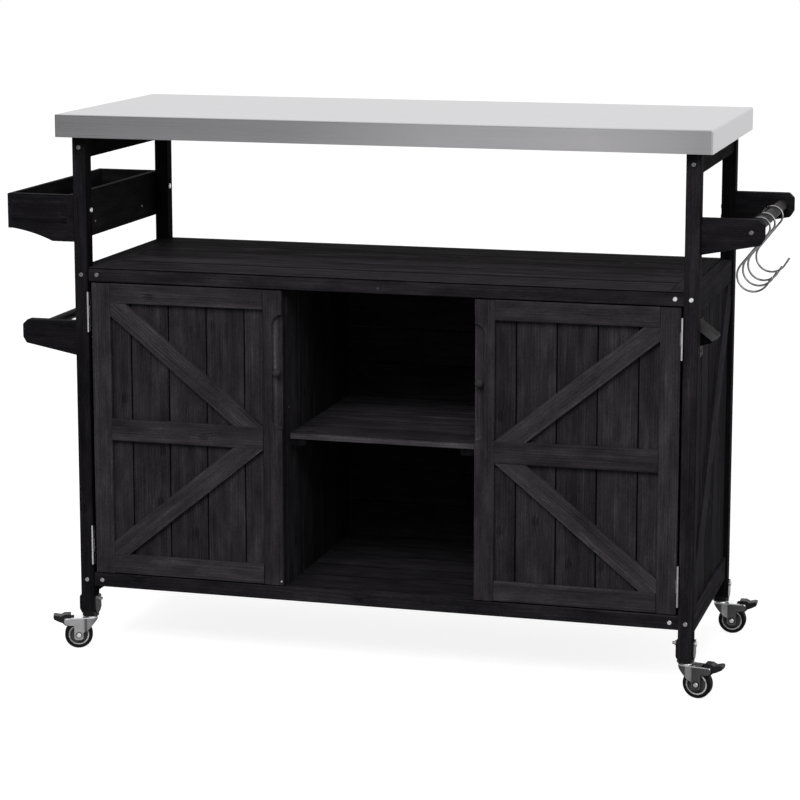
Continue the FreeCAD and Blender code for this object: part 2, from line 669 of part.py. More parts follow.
def door_braces():
    """Two braces from the hinge corners, sawn off along the middle rail, with the outer edge in its corner."""
    left = -DOOR_OUT + STILE_WIDE
    right = -DOOR_IN - STILE_WIDE
    face = DOOR_BOARD_FACE - BRACE_THICK
    made = []
    windows = ((MID_RAIL_LOW + MID_RAIL_WIDE, DOOR_TOP - DOOR_RAIL_WIDE, True),
               (DOOR_LOW + DOOR_RAIL_WIDE, MID_RAIL_LOW, False))
    for low, high, falls in windows:
        window = box(left, right, face, DOOR_BOARD_FACE, low, high)
        rise = high - low
        diagonal = math.hypot(right - left, rise)
        steep = math.atan2(rise, right - left) + math.asin(BRACE_WIDE / 2 / diagonal)
        start = V(left, 0, high if falls else low)
        end = V(left + rise / math.tan(steep), 0, low if falls else high)
        made.append(brace(start, end, BRACE_WIDE, face, DOOR_BOARD_FACE, window, "Y"))
    return made


def door_knob():
    floor = DOOR_FACE + RECESS_DEEP
    centre = V(-KNOB_X, floor - KNOB_NECK - KNOB_R * 0.8, KNOB_Z)
    ball = Part.makeSphere(KNOB_R, centre)
    neck = rod(V(-KNOB_X, floor, KNOB_Z), V(0, -1, 0), KNOB_NECK_R, KNOB_NECK + KNOB_R * 0.4)
    return [ball.fuse(neck).removeSplitter()]


# Hinges, drawn for the left door

def knuckle(z0, z1):
    return rod(V(-BARREL_X, BARREL_Y, z0), V(0, 0, 1), BARREL_R, z1 - z0)


def hinge_bore(z0, z1):
    return rod(V(-BARREL_X, BARREL_Y, z0 - 1), V(0, 0, 1), PIN_R + PIN_FIT, z1 - z0 + 2)


def hinge_leaf(z, fixed):
    """One leaf of a three knuckle hinge whose middle is at height z."""
    low = z - HINGE_LONG / 2
    high = z + HINGE_LONG / 2
    third = HINGE_LONG / 3
    x0 = -POST_IN_X if fixed else -DOOR_OUT - LEAF_THICK
    plate_front = -POST_OUT_Y + BARREL_R - BARREL_OUT + PIN_R
    leaf = box(x0, x0 + LEAF_THICK, plate_front, plate_front + LEAF_DEEP, low, high)
    if fixed:
        spans = ((low, low + third - KNUCKLE_GAP), (high - third + KNUCKLE_GAP, high))
    else:
        spans = ((low + third, high - third),)
    for z0, z1 in spans:
        neck = box(x0, x0 + LEAF_THICK, BARREL_Y, plate_front, z0, z1)
        leaf = leaf.fuse(neck).fuse(knuckle(z0, z1))
    leaf = leaf.cut(hinge_bore(low, high))
    for start, way in hinge_screw_places(fixed):
        leaf = leaf.cut(hinge_screw_hole(start, way))
    return leaf.removeSplitter()


def hinge_leaves(fixed):
    leaves = [hinge_leaf(z, fixed) for z in hinge_heights()]
    return leaves + [hinge_screw(s, w) for s, w in hinge_screw_places(fixed)]


def hinge_pins():
    made = []
    for z in hinge_heights():
        low = z - HINGE_LONG / 2
        pin = rod(V(-BARREL_X, BARREL_Y, low), V(0, 0, 1), PIN_R, HINGE_LONG)
        for end, way in ((low, -1), (low + HINGE_LONG, 1)):
            pin = pin.fuse(rod(V(-BARREL_X, BARREL_Y, end), V(0, 0, way), BARREL_R * 0.9, PIN_HEAD))
        made.append(pin.removeSplitter())
    return both_x(made)


# Spice rack on the upper left

def rack_boards():
    y = POST_OUT_Y
    foot = RACK_TOP - RACK_INNER_HIGH
    floor = RACK_TOP - RACK_OUTER_HIGH
    inner = timber(-POST_OUT_X - RACK_INNER_THICK, -POST_OUT_X, -y, y, foot, RACK_TOP, BOARD_EASE)
    outer = timber(-REACH_LEFT, -REACH_LEFT + RACK_OUTER_THICK, -y, y, floor, RACK_TOP, BOARD_EASE)
    end_in = POST_OUT_Y - RACK_END_THICK - JOINT
    bottom = timber(-REACH_LEFT + RACK_OUTER_THICK + JOINT, -POST_OUT_X - RACK_INNER_THICK - JOINT,
                    -end_in, end_in, floor, floor + RACK_FLOOR_THICK, BOARD_EASE)
    return [inner, outer, bottom]


def rack_ends():
    left = -REACH_LEFT + RACK_OUTER_THICK
    right = -POST_OUT_X - RACK_INNER_THICK
    high_foot = RACK_TOP - RACK_OUTER_HIGH
    low_foot = RACK_TOP - RACK_INNER_HIGH
    flat = right - RACK_FLAT
    y = -POST_OUT_Y
    a = V(left, y, RACK_TOP)
    b = V(right, y, RACK_TOP)
    c = V(right, y, low_foot)
    d = V(flat, y, low_foot)
    e = V(left, y, high_foot)
    bow = V((d.x + e.x) / 2, y, (d.z + e.z) / 2 + RACK_SAG)
    curves = [Part.LineSegment(a, b), Part.LineSegment(b, c), Part.LineSegment(c, d),
              Part.Arc(d, bow, e), Part.LineSegment(e, a)]
    outline = Part.Wire([curve.toShape() for curve in curves])
    front = Part.Face(outline).extrude(V(0, RACK_END_THICK, 0))
    return both_y([front])


# Brackets and rods

def bracket(top):
    """The tapered bracket on the right front post."""
    x = POST_OUT_X
    end = x + BRACKET_REACH
    low_cut = (BRACKET_HEEL - BRACKET_TIP) * 0.6
    outline = [V(x, 0, top), V(end - BRACKET_CUT, 0, top), V(end, 0, top - BRACKET_CUT),
               V(end, 0, top - BRACKET_TIP), V(end - low_cut, 0, top - BRACKET_HEEL),
               V(x, 0, top - BRACKET_HIGH)]
    solid = plate(outline, V(0, -BRACKET_OUT_Y, 0), V(0, BRACKET_THICK, 0))
    tips = [e for e in solid.Edges
            if abs(e.tangentAt(e.FirstParameter).y) > 0.99 and e.CenterOfMass.x > x + 1]
    return solid.makeFillet(BRACKET_ROUND, tips)


def bar_rod(x, z, radius, half):
    """A round rod from front to back."""
    return rod(V(x, -half, z), V(0, 1, 0), radius, 2 * half)


def hook_brackets():
    return both_y([bracket(HOOK_RAIL_TOP)])


def towel_brackets():
    """Two brackets with a blind hole each for the end of the towel rod."""
    bore = bar_rod(TOWEL_ROD_X, TOWEL_ROD_Z, TOWEL_ROD_R + HOLE_FIT, BRACKET_IN_Y + TOWEL_ROD_DEEP + HOLE_FIT)
    return [b.cut(bore) for b in both_y([mirror_x(bracket(TOWEL_BAR_TOP))])]


def towel_rod():
    return [bar_rod(TOWEL_ROD_X, TOWEL_ROD_Z, TOWEL_ROD_R, BRACKET_IN_Y + TOWEL_ROD_DEEP)]


def hook_rod():
    return [bar_rod(HOOK_ROD_X, HOOK_ROD_Z, HOOK_ROD_R, BRACKET_IN_Y)]


# S-hooks

def s_hook(y):
    """One bent wire: short leg, upper bend over the rod, shank, lower bend and its straight end."""
    tilt = math.asin((HOOK_TOP_R + HOOK_LOW_R) / HOOK_DROP)
    top = V(HOOK_ROD_X, y, HOOK_Z)
    low = V(HOOK_ROD_X, y, HOOK_Z - HOOK_DROP)
    side = V(math.cos(tilt), 0, -math.sin(tilt))
    down = V(-math.sin(tilt), 0, -math.cos(tilt))
    crown = V(side.z * -1, 0, side.x)
    leg_top = top - side * HOOK_TOP_R
    leg_end = leg_top + down * HOOK_LEG
    shank_top = top + side * HOOK_TOP_R
    shank_low = low - side * HOOK_LOW_R
    bend_end = low + V(math.cos(HOOK_LEAN), 0, -math.sin(HOOK_LEAN)) * HOOK_LOW_R
    belly = low + V(0, 0, -HOOK_LOW_R)
    tip = bend_end + V(math.sin(HOOK_LEAN), 0, math.cos(HOOK_LEAN)) * HOOK_TIP
    edges = [Part.LineSegment(leg_end, leg_top).toShape(),
             Part.Arc(leg_top, top + crown * HOOK_TOP_R, shank_top).toShape(),
             Part.LineSegment(shank_top, shank_low).toShape(),
             Part.Arc(shank_low, belly, bend_end).toShape(),
             Part.LineSegment(bend_end, tip).toShape()]
    path = Part.Wire(edges)
    section = Part.Wire(Part.Circle(leg_end, down, HOOK_WIRE_R).toShape())
    return [path.makePipeShell([section], True, True)]


# Bottle opener on the right side boards

def bottle_opener():
    """A wall plate with a sloping hood that is open below."""
    wall = SIDE_BOARD_OUT
    face = wall + OPENER_PLATE
    plate_box = box(wall, face, OPENER_Y, OPENER_Y + OPENER_WIDE, OPENER_TOP - OPENER_HIGH, OPENER_TOP)
    corners = [e for e in plate_box.Edges if abs(e.tangentAt(e.FirstParameter).x) > 0.99]
    plate_box = plate_box.makeFillet(OPENER_RIM, corners)
    high = OPENER_TOP - OPENER_RIM
    tip = face + OPENER_REACH
    side = OPENER_RIM

    def hood(inset):
        outline = [V(face - OPENER_PLATE / 2, 0, high - inset), V(face, 0, high - inset),
                   V(tip - inset, 0, high - OPENER_DROP - inset / 2),
                   V(tip - inset, 0, high - OPENER_DROP - OPENER_RIM),
                   V(tip - OPENER_REACH * 0.3, 0, high - OPENER_DROP - OPENER_SIDE * 0.55),
                   V(face - OPENER_PLATE / 2, 0, high - OPENER_SIDE)]
        return plate(outline, V(0, OPENER_Y + side + inset, 0), V(0, OPENER_WIDE - 2 * (side + inset), 0))

    outer = hood(0.0)
    keep = box(face, tip + 1, OPENER_Y, OPENER_Y + OPENER_WIDE, OPENER_TOP - OPENER_HIGH, OPENER_TOP)
    hollow = hood(OPENER_WALL).common(keep)
    drop = [hollow.translated(V(0, 0, -OPENER_WALL * i)) for i in (1, 2)]
    shell = outer.cut(hollow).cut(drop[0]).cut(drop[1])
    return [plate_box.fuse(shell).removeSplitter()]


# Casters, drawn round a swivel axis at X = 0, Y = 0 with the wheel trailing towards +X

def caster_seat():
    """The bracket that grips the foot of the post, with the bearing seat below it."""
    half_y = POST_Y / 2
    half_x = POST_X / 2
    foot = POST_FOOT
    outline = [V(0, -half_y + EAR_CHAMFER, CASTER_HIGH), V(0, half_y - EAR_CHAMFER, CASTER_HIGH),
               V(0, half_y, CASTER_HIGH + EAR_CHAMFER), V(0, half_y, foot + EAR_HIGH),
               V(0, -half_y, foot + EAR_HIGH), V(0, -half_y, CASTER_HIGH + EAR_CHAMFER)]
    ear = plate(outline, V(half_x, 0, 0), V(EAR_THICK, 0, 0))
    tops = [e for e in ear.Edges if abs(e.tangentAt(e.FirstParameter).x) > 0.99
            and e.CenterOfMass.z > foot + EAR_HIGH - 1e-6]
    ear = ear.makeFillet(EAR_ROUND, tops)
    base = box(-half_x, half_x, -half_y, half_y, CASTER_HIGH, foot)
    seat = rod(V(0, 0, SEAT_LOW), V(0, 0, 1), SEAT_R, SEAT_HIGH)
    solid = base.fuse(ear).fuse(mirror_x(ear)).fuse(seat)
    bore = rod(V(0, 0, SEAT_LOW - 1), V(0, 0, 1), KINGPIN_R + SHAFT_FIT, KINGPIN_IN + SWIVEL_GAP + 1)
    return solid.cut(bore).removeSplitter()


def fork_outline():
    """One side of the fork: round nose, leg down to the axle, and arm out to the pedal."""
    leg_front = TRAIL - 8
    leg_back = TRAIL + 8
    leg_low = WHEEL_R - 9
    arm_end = PEDAL_OUT + 4
    outline = [V(-FORK_OUT, 0, FORK_TOP), V(-FORK_OUT, 0, FORK_TOP - FORK_PLATE - 1),
               V(leg_front - 8, 0, WHEEL_R + 8), V(leg_front, 0, WHEEL_R + 4), V(leg_front, 0, leg_low + 3),
               V(leg_front + 3, 0, leg_low), V(leg_back - 3, 0, leg_low), V(leg_back, 0, leg_low + 3),
               V(leg_back, 0, PEDAL_Z - 10), V(PEDAL_OUT - 5.5, 0, PEDAL_Z - 10),
               V(PEDAL_OUT, 0, PEDAL_Z - 8.5), V(arm_end - 0.8, 0, PEDAL_Z - 6), V(arm_end, 0, PEDAL_Z - 3),
               V(arm_end, 0, PEDAL_Z + 1), V(arm_end - 1.7, 0, PEDAL_Z + 3.6), V(FORK_TOP_LONG, 0, FORK_TOP)]
    return plate(outline, V(0, -FORK_OUT - 1, 0), V(0, 2 * FORK_OUT + 2, 0))


def fork_block(half, long, high):
    """A block as wide as the fork, with a round front about the swivel axis."""
    return box(0, long, -half, half, 0, high).fuse(rod(V(0, 0, 0), V(0, 0, 1), half, high))


def fork():
    arm_end = PEDAL_OUT + 4
    room = fork_block(FORK_IN, arm_end + 1, FORK_TOP - FORK_PLATE)
    behind = box(FORK_TOP_LONG, arm_end + 1, -FORK_IN, FORK_IN, 0, FORK_TOP + 1)
    body = fork_block(FORK_OUT, arm_end, FORK_TOP).cut(room).cut(behind).common(fork_outline())
    race = rod(V(0, 0, FORK_TOP), V(0, 0, 1), RACE_R, RACE_HIGH)
    race = race.makeFillet(RACE_HIGH * 0.6, [e for e in race.Edges if e.CenterOfMass.z > RACE_TOP - 1e-6])
    pin = rod(V(0, 0, FORK_TOP - FORK_PLATE), V(0, 0, 1), KINGPIN_R, FORK_PLATE + RACE_HIGH + KINGPIN_IN)
    body = body.fuse(race).fuse(pin)
    start = -FORK_OUT - 1
    span = 2 * FORK_OUT + 2
    axle_hole = rod(V(TRAIL, start, WHEEL_R), V(0, 1, 0), AXLE_R + HOLE_FIT, span)
    rivet_hole = rod(V(PEDAL_OUT, start, PEDAL_Z), V(0, 1, 0), PEDAL_PIN_R + HOLE_FIT, span)
    return body.cut(axle_hole).cut(rivet_hole).removeSplitter()


def cross_pin(x, z, radius, head_r, head_high):
    """A pin across the fork with a domed head at each end."""
    pin = rod(V(x, -FORK_OUT, z), V(0, 1, 0), radius, 2 * FORK_OUT)
    head = rod(V(x, FORK_OUT, z), V(0, 1, 0), head_r, head_high)
    rim = [e for e in head.Edges if e.CenterOfMass.y > FORK_OUT + head_high - 1e-6]
    head = head.makeFillet(head_high * 0.7, rim)
    return pin.fuse(head).fuse(mirror_y(head)).removeSplitter()


def caster_fork():
    axle = cross_pin(TRAIL, WHEEL_R, AXLE_R, AXLE_HEAD_R, AXLE_HEAD_HIGH)
    rivet = cross_pin(PEDAL_OUT, PEDAL_Z, PEDAL_PIN_R, PEDAL_HEAD_R, PEDAL_HEAD_HIGH)
    return [fork(), axle, rivet]


def turned(profile):
    """A turned piece round the wheel axle, from (radius, offset) points."""
    points = [V(TRAIL, y, WHEEL_R + r) for r, y in profile]
    face = Part.Face(Part.makePolygon(points + [points[0]]))
    return face.revolve(V(TRAIL, 0, WHEEL_R), V(0, 1, 0), 360)


def caster_tyre():
    half = WHEEL_WIDE / 2
    inner = WHEEL_R - TYRE_THICK
    shoulder = TYRE_ROUND * 0.3
    profile = [(inner, -half), (WHEEL_R - TYRE_ROUND, -half), (WHEEL_R - shoulder, -half + shoulder),
               (WHEEL_R, -half + TYRE_ROUND), (WHEEL_R, half - TYRE_ROUND),
               (WHEEL_R - shoulder, half - shoulder), (WHEEL_R - TYRE_ROUND, half), (inner, half)]
    return [turned(profile)]


def caster_hub():
    half = WHEEL_WIDE / 2 - 0.5
    outer = WHEEL_R - TYRE_THICK
    rim = outer - HUB_RIM
    web = HUB_WEB / 2
    bore = AXLE_R + SHAFT_FIT
    boss = FORK_IN - SHAFT_FIT * 4
    profile = [(bore, -boss), (HUB_BOSS_R, -boss), (HUB_BOSS_R, -web), (rim, -web),
               (rim, -half), (outer, -half), (outer, half), (rim, half),
               (rim, web), (HUB_BOSS_R, web), (HUB_BOSS_R, boss), (bore, boss)]
    return [turned(profile)]


def caster_pedal():
    """The two lobed brake lever between the fork arms."""
    x = PEDAL_OUT
    z = PEDAL_Z
    outline = [V(x - 8.5, 0, z + 3), V(x - 8.5, 0, z + 9), V(x - 7.5, 0, z + 10), V(x + 3, 0, z + 10),
               V(x + 9.5, 0, z + 6.8), V(x + 19, 0, z + 9), V(x + 22.5, 0, z + 8.5), V(x + 23, 0, z + 6),
               V(x + 22, 0, z + 1.5), V(x + 13, 0, z - 3.3), V(x + 7, 0, z - 5.5), V(x + 2, 0, z - PEDAL_CAM),
               V(x - 1.5, 0, z - PEDAL_CAM), V(x - 6, 0, z - 3)]
    half = FORK_IN - PEDAL_GAP
    solid = plate(outline, V(0, -half, 0), V(0, 2 * half, 0))
    bore = rod(V(x, -half - 1, z), V(0, 1, 0), PEDAL_PIN_R + SHAFT_FIT, 2 * half + 2)
    return [solid.cut(bore)]


def at_caster(shapes, sx, sy, turn=0.0):
    """Puts a caster piece under its post, trailing outwards and turned by turn degrees."""
    placed = []
    for shape in shapes:
        turned_shape = shape.copy()
        turned_shape.rotate(V(0, 0, 0), V(0, 0, 1), turn + (180 if sx < 0 else 0))
        turned_shape.translate(V(sx * POST_MID_X, sy * POST_MID_Y, 0))
        placed.append(turned_shape)
    return placed


def caster_brackets():
    return [at_caster([caster_seat()], sx, sy)[0] for sx, sy in CASTER_PLACES]


# Fastener groups

def wood_screws():
    return [screw(s, w, length, head, r) for s, w, length, head, r in WOOD_SCREWS]


def rack_bolts():
    return [piece for s, w, grip in rack_bolt_list() for piece in bolt(s, w, grip)]


def caster_bolts():
    return [piece for s, w, grip in caster_bolt_list() for piece in bolt(s, w, grip)]


# Export

os.makedirs("parts", exist_ok=True)


def save(name, shapes, drilled=False):
    solids = []
    for shape in shapes:
        piece = drill(shape) if drilled else shape
        solids += piece.Solids
    moved = [s.translated(V(SHIFT, 0, 0)) for s in solids]
    for s in moved:
        if not s.isValid() or s.Volume <= 0:
            print("PROBLEM", name, s.isValid(), s.Volume)
    whole = moved[0] if len(moved) == 1 else Part.makeCompound(moved)
    whole.exportStep("parts/" + name + ".step")
    bounds = whole.BoundBox
    print(name, len(moved), [round(v, 1) for v in (bounds.XMin, bounds.XMax, bounds.YMin, bounds.YMax,
                                                   bounds.ZMin, bounds.ZMax)])


POST_NAMES = {"post_front_left": (-1, -1), "post_front_right": (1, -1),
              "post_back_left": (-1, 1), "post_back_right": (1, 1)}
for post_name, (side_x, side_y) in POST_NAMES.items():
    save(post_name, post(side_x, side_y), drilled=True)

save("worktop_pan", worktop_pan())
save("worktop_core", worktop_core())
save("worktop_rails", worktop_rails(), drilled=True)
save("cabinet_front_rails", cabinet_long_rails(-1), drilled=True)
save("cabinet_back_rails", cabinet_long_rails(1), drilled=True)
save("side_rails", side_rails(), drilled=True)
save("side_boards", side_boards(), drilled=True)
save("side_braces", side_braces())
save("deck_boards", deck_boards() + deck_end_strips(), drilled=True)
save("cabinet_battens", cabinet_battens() + shelf_cleats(), drilled=True)
save("floor_boards", floor_boards(), drilled=True)
save("back_boards", back_boards())
save("back_battens", back_battens())
save("dividers", dividers())
save("shelf_boards", shelf_boards())
save("rack_boards", rack_boards(), drilled=True)
save("rack_ends", rack_ends(), drilled=True)
save("rod_brackets", hook_brackets() + towel_brackets(), drilled=True)
save("towel_rod", towel_rod())
save("hook_rod", hook_rod(), drilled=True)
save("bottle_opener", bottle_opener(), drilled=True)
save("hinge_fixed_leaves", both_x(hinge_leaves(True)) + hinge_pins())
save("wood_screws", wood_screws())
save("caster_brackets", caster_brackets(), drilled=True)
save("frame_bolts", rack_bolts() + caster_bolts())

DOOR_PIECES = {"frame": door_frame, "boards": door_boards, "braces": door_braces, "knob": door_knob}
for piece_name, make in DOOR_PIECES.items():
    left_door = [drill(s) for s in make()]
    save("door_left_" + piece_name, left_door)
    save("door_right_" + piece_name, [mirror_x(s) for s in left_door])
save("door_left_hinge_leaves", hinge_leaves(False))
save("door_right_hinge_leaves", [mirror_x(s) for s in hinge_leaves(False)])

for number, hook_y in enumerate(HOOK_PLACES, 1):
    save("s_hook_%d" % number, s_hook(hook_y))

CASTER_PIECES = {"fork": caster_fork, "hub": caster_hub, "tyre": caster_tyre, "pedal": caster_pedal}
for number, (side_x, side_y) in enumerate(CASTER_PLACES, 1):
    for piece_name, make in CASTER_PIECES.items():
        placed_pieces = at_caster(make(), side_x, side_y, CASTER_TURNS[number - 1])
        save("caster_%d_%s" % (number, piece_name), placed_pieces)
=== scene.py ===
import json
import math
import bpy
from mathutils import Matrix, Vector


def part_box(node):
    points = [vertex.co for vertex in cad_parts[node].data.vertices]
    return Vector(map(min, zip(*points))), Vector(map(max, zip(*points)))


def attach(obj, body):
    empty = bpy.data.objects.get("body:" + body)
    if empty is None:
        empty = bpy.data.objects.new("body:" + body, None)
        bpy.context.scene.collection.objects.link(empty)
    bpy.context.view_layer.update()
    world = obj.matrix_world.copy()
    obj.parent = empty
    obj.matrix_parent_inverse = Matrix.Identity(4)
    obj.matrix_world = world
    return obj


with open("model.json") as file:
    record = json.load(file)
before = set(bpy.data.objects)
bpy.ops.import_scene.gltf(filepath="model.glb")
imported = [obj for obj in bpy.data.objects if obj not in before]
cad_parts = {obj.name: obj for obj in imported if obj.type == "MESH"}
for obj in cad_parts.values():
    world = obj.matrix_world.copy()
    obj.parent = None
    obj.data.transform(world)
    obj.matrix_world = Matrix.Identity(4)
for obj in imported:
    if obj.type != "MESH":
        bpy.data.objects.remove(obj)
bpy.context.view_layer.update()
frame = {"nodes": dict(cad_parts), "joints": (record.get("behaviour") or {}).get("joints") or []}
nodes = frame["nodes"]
scene = bpy.context.scene

# Camera. It stands a little to the right of the cart at chest height and looks down on the
# worktop by about nine degrees, from far enough away that the posts stay nearly upright.
camera = bpy.data.objects.new("camera", bpy.data.cameras.new("camera"))
scene.collection.objects.link(camera)
scene.camera = camera
camera.location = (1.2030, -4.3784, 1.3458)
camera.rotation_euler = (math.radians(80.548), 0, math.radians(15.521))
camera.data.sensor_width = 36
camera.data.lens = 115.73
camera.data.shift_y = -0.1

# Studio. A wide soft lamp hangs over the front of the cart and a weaker one fills in from the
# right. The sweep behind and below it is white to the lens and uneven in the polished metal.
scene.view_settings.view_transform = "Standard"
world = bpy.data.worlds.new("studio")
scene.world = world
world.use_nodes = True
background = world.node_tree.nodes["Background"]
background.inputs["Color"].default_value = (1, 1, 1, 1)


class Wire:
    """A socket of a material's nodes. Sums and comparisons written with it add Math nodes."""

    def __init__(self, tree, socket):
        self.tree = tree
        self.socket = socket

    def node(self, kind, settings, feeds, out=0):
        """Adds a node with its settings, then its sockets' links and values."""
        made = self.tree.nodes.new(kind)
        for key, value in settings.items():
            if key == "stops":
                ramp = made.color_ramp
                while len(ramp.elements) < len(value):
                    ramp.elements.new(0.5)
                for stop, (place, colour) in zip(ramp.elements, value):
                    stop.position = place
                    stop.color = tuple(colour) + (1,)
            else:
                setattr(made, key, value)
        for key, value in feeds.items():
            if isinstance(value, Wire):
                self.tree.links.new(value.socket, made.inputs[key])
            else:
                made.inputs[key].default_value = value
        return Wire(self.tree, made.outputs[out])

    def beside(self, out):
        """Another output of the same node."""
        return Wire(self.tree, self.socket.node.outputs[out])

    def sum(self, operation, first, second=0.0):
        """A Math node on one value or two."""
        return self.node("ShaderNodeMath", {"operation": operation}, {0: first, 1: second})

    def __add__(self, other):
        return self.sum("ADD", self, other)

    def __radd__(self, other):
        return self.sum("ADD", other, self)

    def __sub__(self, other):
        return self.sum("SUBTRACT", self, other)

    def __rsub__(self, other):
        return self.sum("SUBTRACT", other, self)

    def __mul__(self, other):
        return self.sum("MULTIPLY", self, other)

    def __rmul__(self, other):
        return self.sum("MULTIPLY", other, self)

    def __truediv__(self, other):
        return self.sum("DIVIDE", self, other)

    def __pow__(self, other):
        return self.sum("POWER", self, other)

    def __gt__(self, other):
        return self.sum("GREATER_THAN", self, other)

    def __lt__(self, other):
        return self.sum("LESS_THAN", self, other)

    def __abs__(self):
        return self.sum("ABSOLUTE", self)

    def floor(self):
        return self.sum("FLOOR", self)

    def sine(self):
        return self.sum("SINE", self)

    def larger(self, other):
        return self.sum("MAXIMUM", self, other)

    def clamp(self):
        return self.node("ShaderNodeClamp", {}, {"Value": self})

    def at(self, x, y, z):
        return self.node("ShaderNodeCombineXYZ", {}, {"X": x, "Y": y, "Z": z})

    def noise(self, vector, detail=2.0, rough=0.5):
        feeds = {"Vector": vector, "Scale": 1.0, "Detail": detail, "Roughness": rough}
        return self.node("ShaderNodeTexNoise", {}, feeds)


def new_finish(name):
    """A material with its shader, and the place and the normal of a point as x, y and z wires."""
    material = bpy.data.materials.new(name)
    material.use_nodes = True
    tree = material.node_tree
    shader = tree.nodes["Principled BSDF"]
    where = tree.nodes.new("ShaderNodeTexCoord")
    parts = []
    for output in ("Object", "Normal"):
        split = tree.nodes.new("ShaderNodeSeparateXYZ")
        tree.links.new(where.outputs[output], split.inputs[0])
        parts.append([Wire(tree, socket) for socket in split.outputs])
    return material, shader, parts[0], parts[1]


def feed(shader, **wires):
    """Links wires to the shader's sockets, whose names have underscores for spaces."""
    for name, wire in wires.items():
        shader.id_data.links.new(wire.socket, shader.inputs[name.replace("_", " ")])


def blend(share, first, second):
    """The first value where share is 0 and the second where it is 1."""
    return first + (second - first) * share


# The sky is white to the lens. The polished metal sees it grow dark towards the left.
dark_side = (-0.92, -0.39, 0)
sky = Wire(world.node_tree, None)
sky_way = sky.node("ShaderNodeTexCoord", {}, {}, "Generated")
leftward = sky.node("ShaderNodeVectorMath", {"operation": "DOT_PRODUCT"},
                    {0: sky_way, 1: dark_side}, "Value")
sky_in_metal = 1.0 - ((leftward - 0.3) / 0.42).clamp() * 0.95
sky_to_lens = sky.node("ShaderNodeLightPath", {}, {}, "Is Camera Ray")
sky_in_wood = 0.55
sky_unseen = blend(sky_to_lens.beside("Is Glossy Ray"), sky_in_wood, sky_in_metal)
feed(background, Strength=blend(sky_to_lens, sky_unseen, 1.0))


def soft_lamp(name, place, aim, size, power):
    """A rectangular lamp at place that looks at aim."""
    lamp = bpy.data.objects.new(name, bpy.data.lights.new(name, "AREA"))
    scene.collection.objects.link(lamp)
    lamp.data.shape = "RECTANGLE"
    lamp.data.size, lamp.data.size_y = size
    lamp.data.energy = power
    lamp.location = place
    lamp.rotation_euler = (Vector(aim) - Vector(place)).to_track_quat("-Z", "Y").to_euler()
    return lamp


over_front = soft_lamp("lamp_over_front", (-0.1, -3.4, 3.6), (0, 0, 0.5), (3.2, 2.2), 210)
over_front.visible_glossy = False
soft_lamp("lamp_right", (4.2, -1.2, 2.2), (0, 0, 0.5), (2.2, 2.2), 26)

bpy.ops.object.select_all(action="DESELECT")
bpy.ops.mesh.primitive_circle_add(vertices=96, radius=14, fill_type="NGON", location=(0, 0, -0.0006))
floor = bpy.context.object
floor.name = "floor"
floor.data.transform(floor.matrix_world)
floor.matrix_world = Matrix.Identity(4)
paper, paper_skin, paper_place, paper_normal = new_finish("white_sweep")
floor.data.materials.append(paper)
paper_skin.inputs["Base Color"].default_value = (0.30, 0.30, 0.30, 1)
paper_skin.inputs["Roughness"].default_value = 0.9
paper_skin.inputs["Specular IOR Level"].default_value = 0.1
paper_skin.inputs["Emission Strength"].default_value = 1.0
# In the polished metal alone the sweep is lit from place to place: far in front it brightens to
# the right, close in front only its left half is lit, and behind the cart all of it is.
rightward, backward, upward = paper_place
far_card = ((rightward + 4.5) / 5.0).clamp() * 0.40
near_card = ((0.25 - rightward) / 0.5).clamp() * 0.25
in_front = blend(((backward + 2.6) / 1.2).clamp(), far_card, near_card)
behind = (backward + 0.2).clamp() * 0.70
paper_to_lens = rightward.node("ShaderNodeLightPath", {}, {}, "Is Camera Ray")
paper_unseen = behind.larger(in_front) * paper_to_lens.beside("Is Glossy Ray")
paper_glow = blend(paper_to_lens, paper_unseen, 0.86)
feed(paper_skin, Emission_Color=rightward.node("ShaderNodeCombineColor", {},
                                               {0: paper_glow, 1: paper_glow, 2: paper_glow}))

# Posts. Four square legs of sawn softwood, black stained, that run from the casters up to the
# worktop. The stain sits unevenly, so the grain, the knots and each board's own tone show through.


def dress(material, *names):
    """Gives the material to every slot of the named nodes."""
    for name in names:
        for slot in nodes[name].material_slots:
            slot.material = material


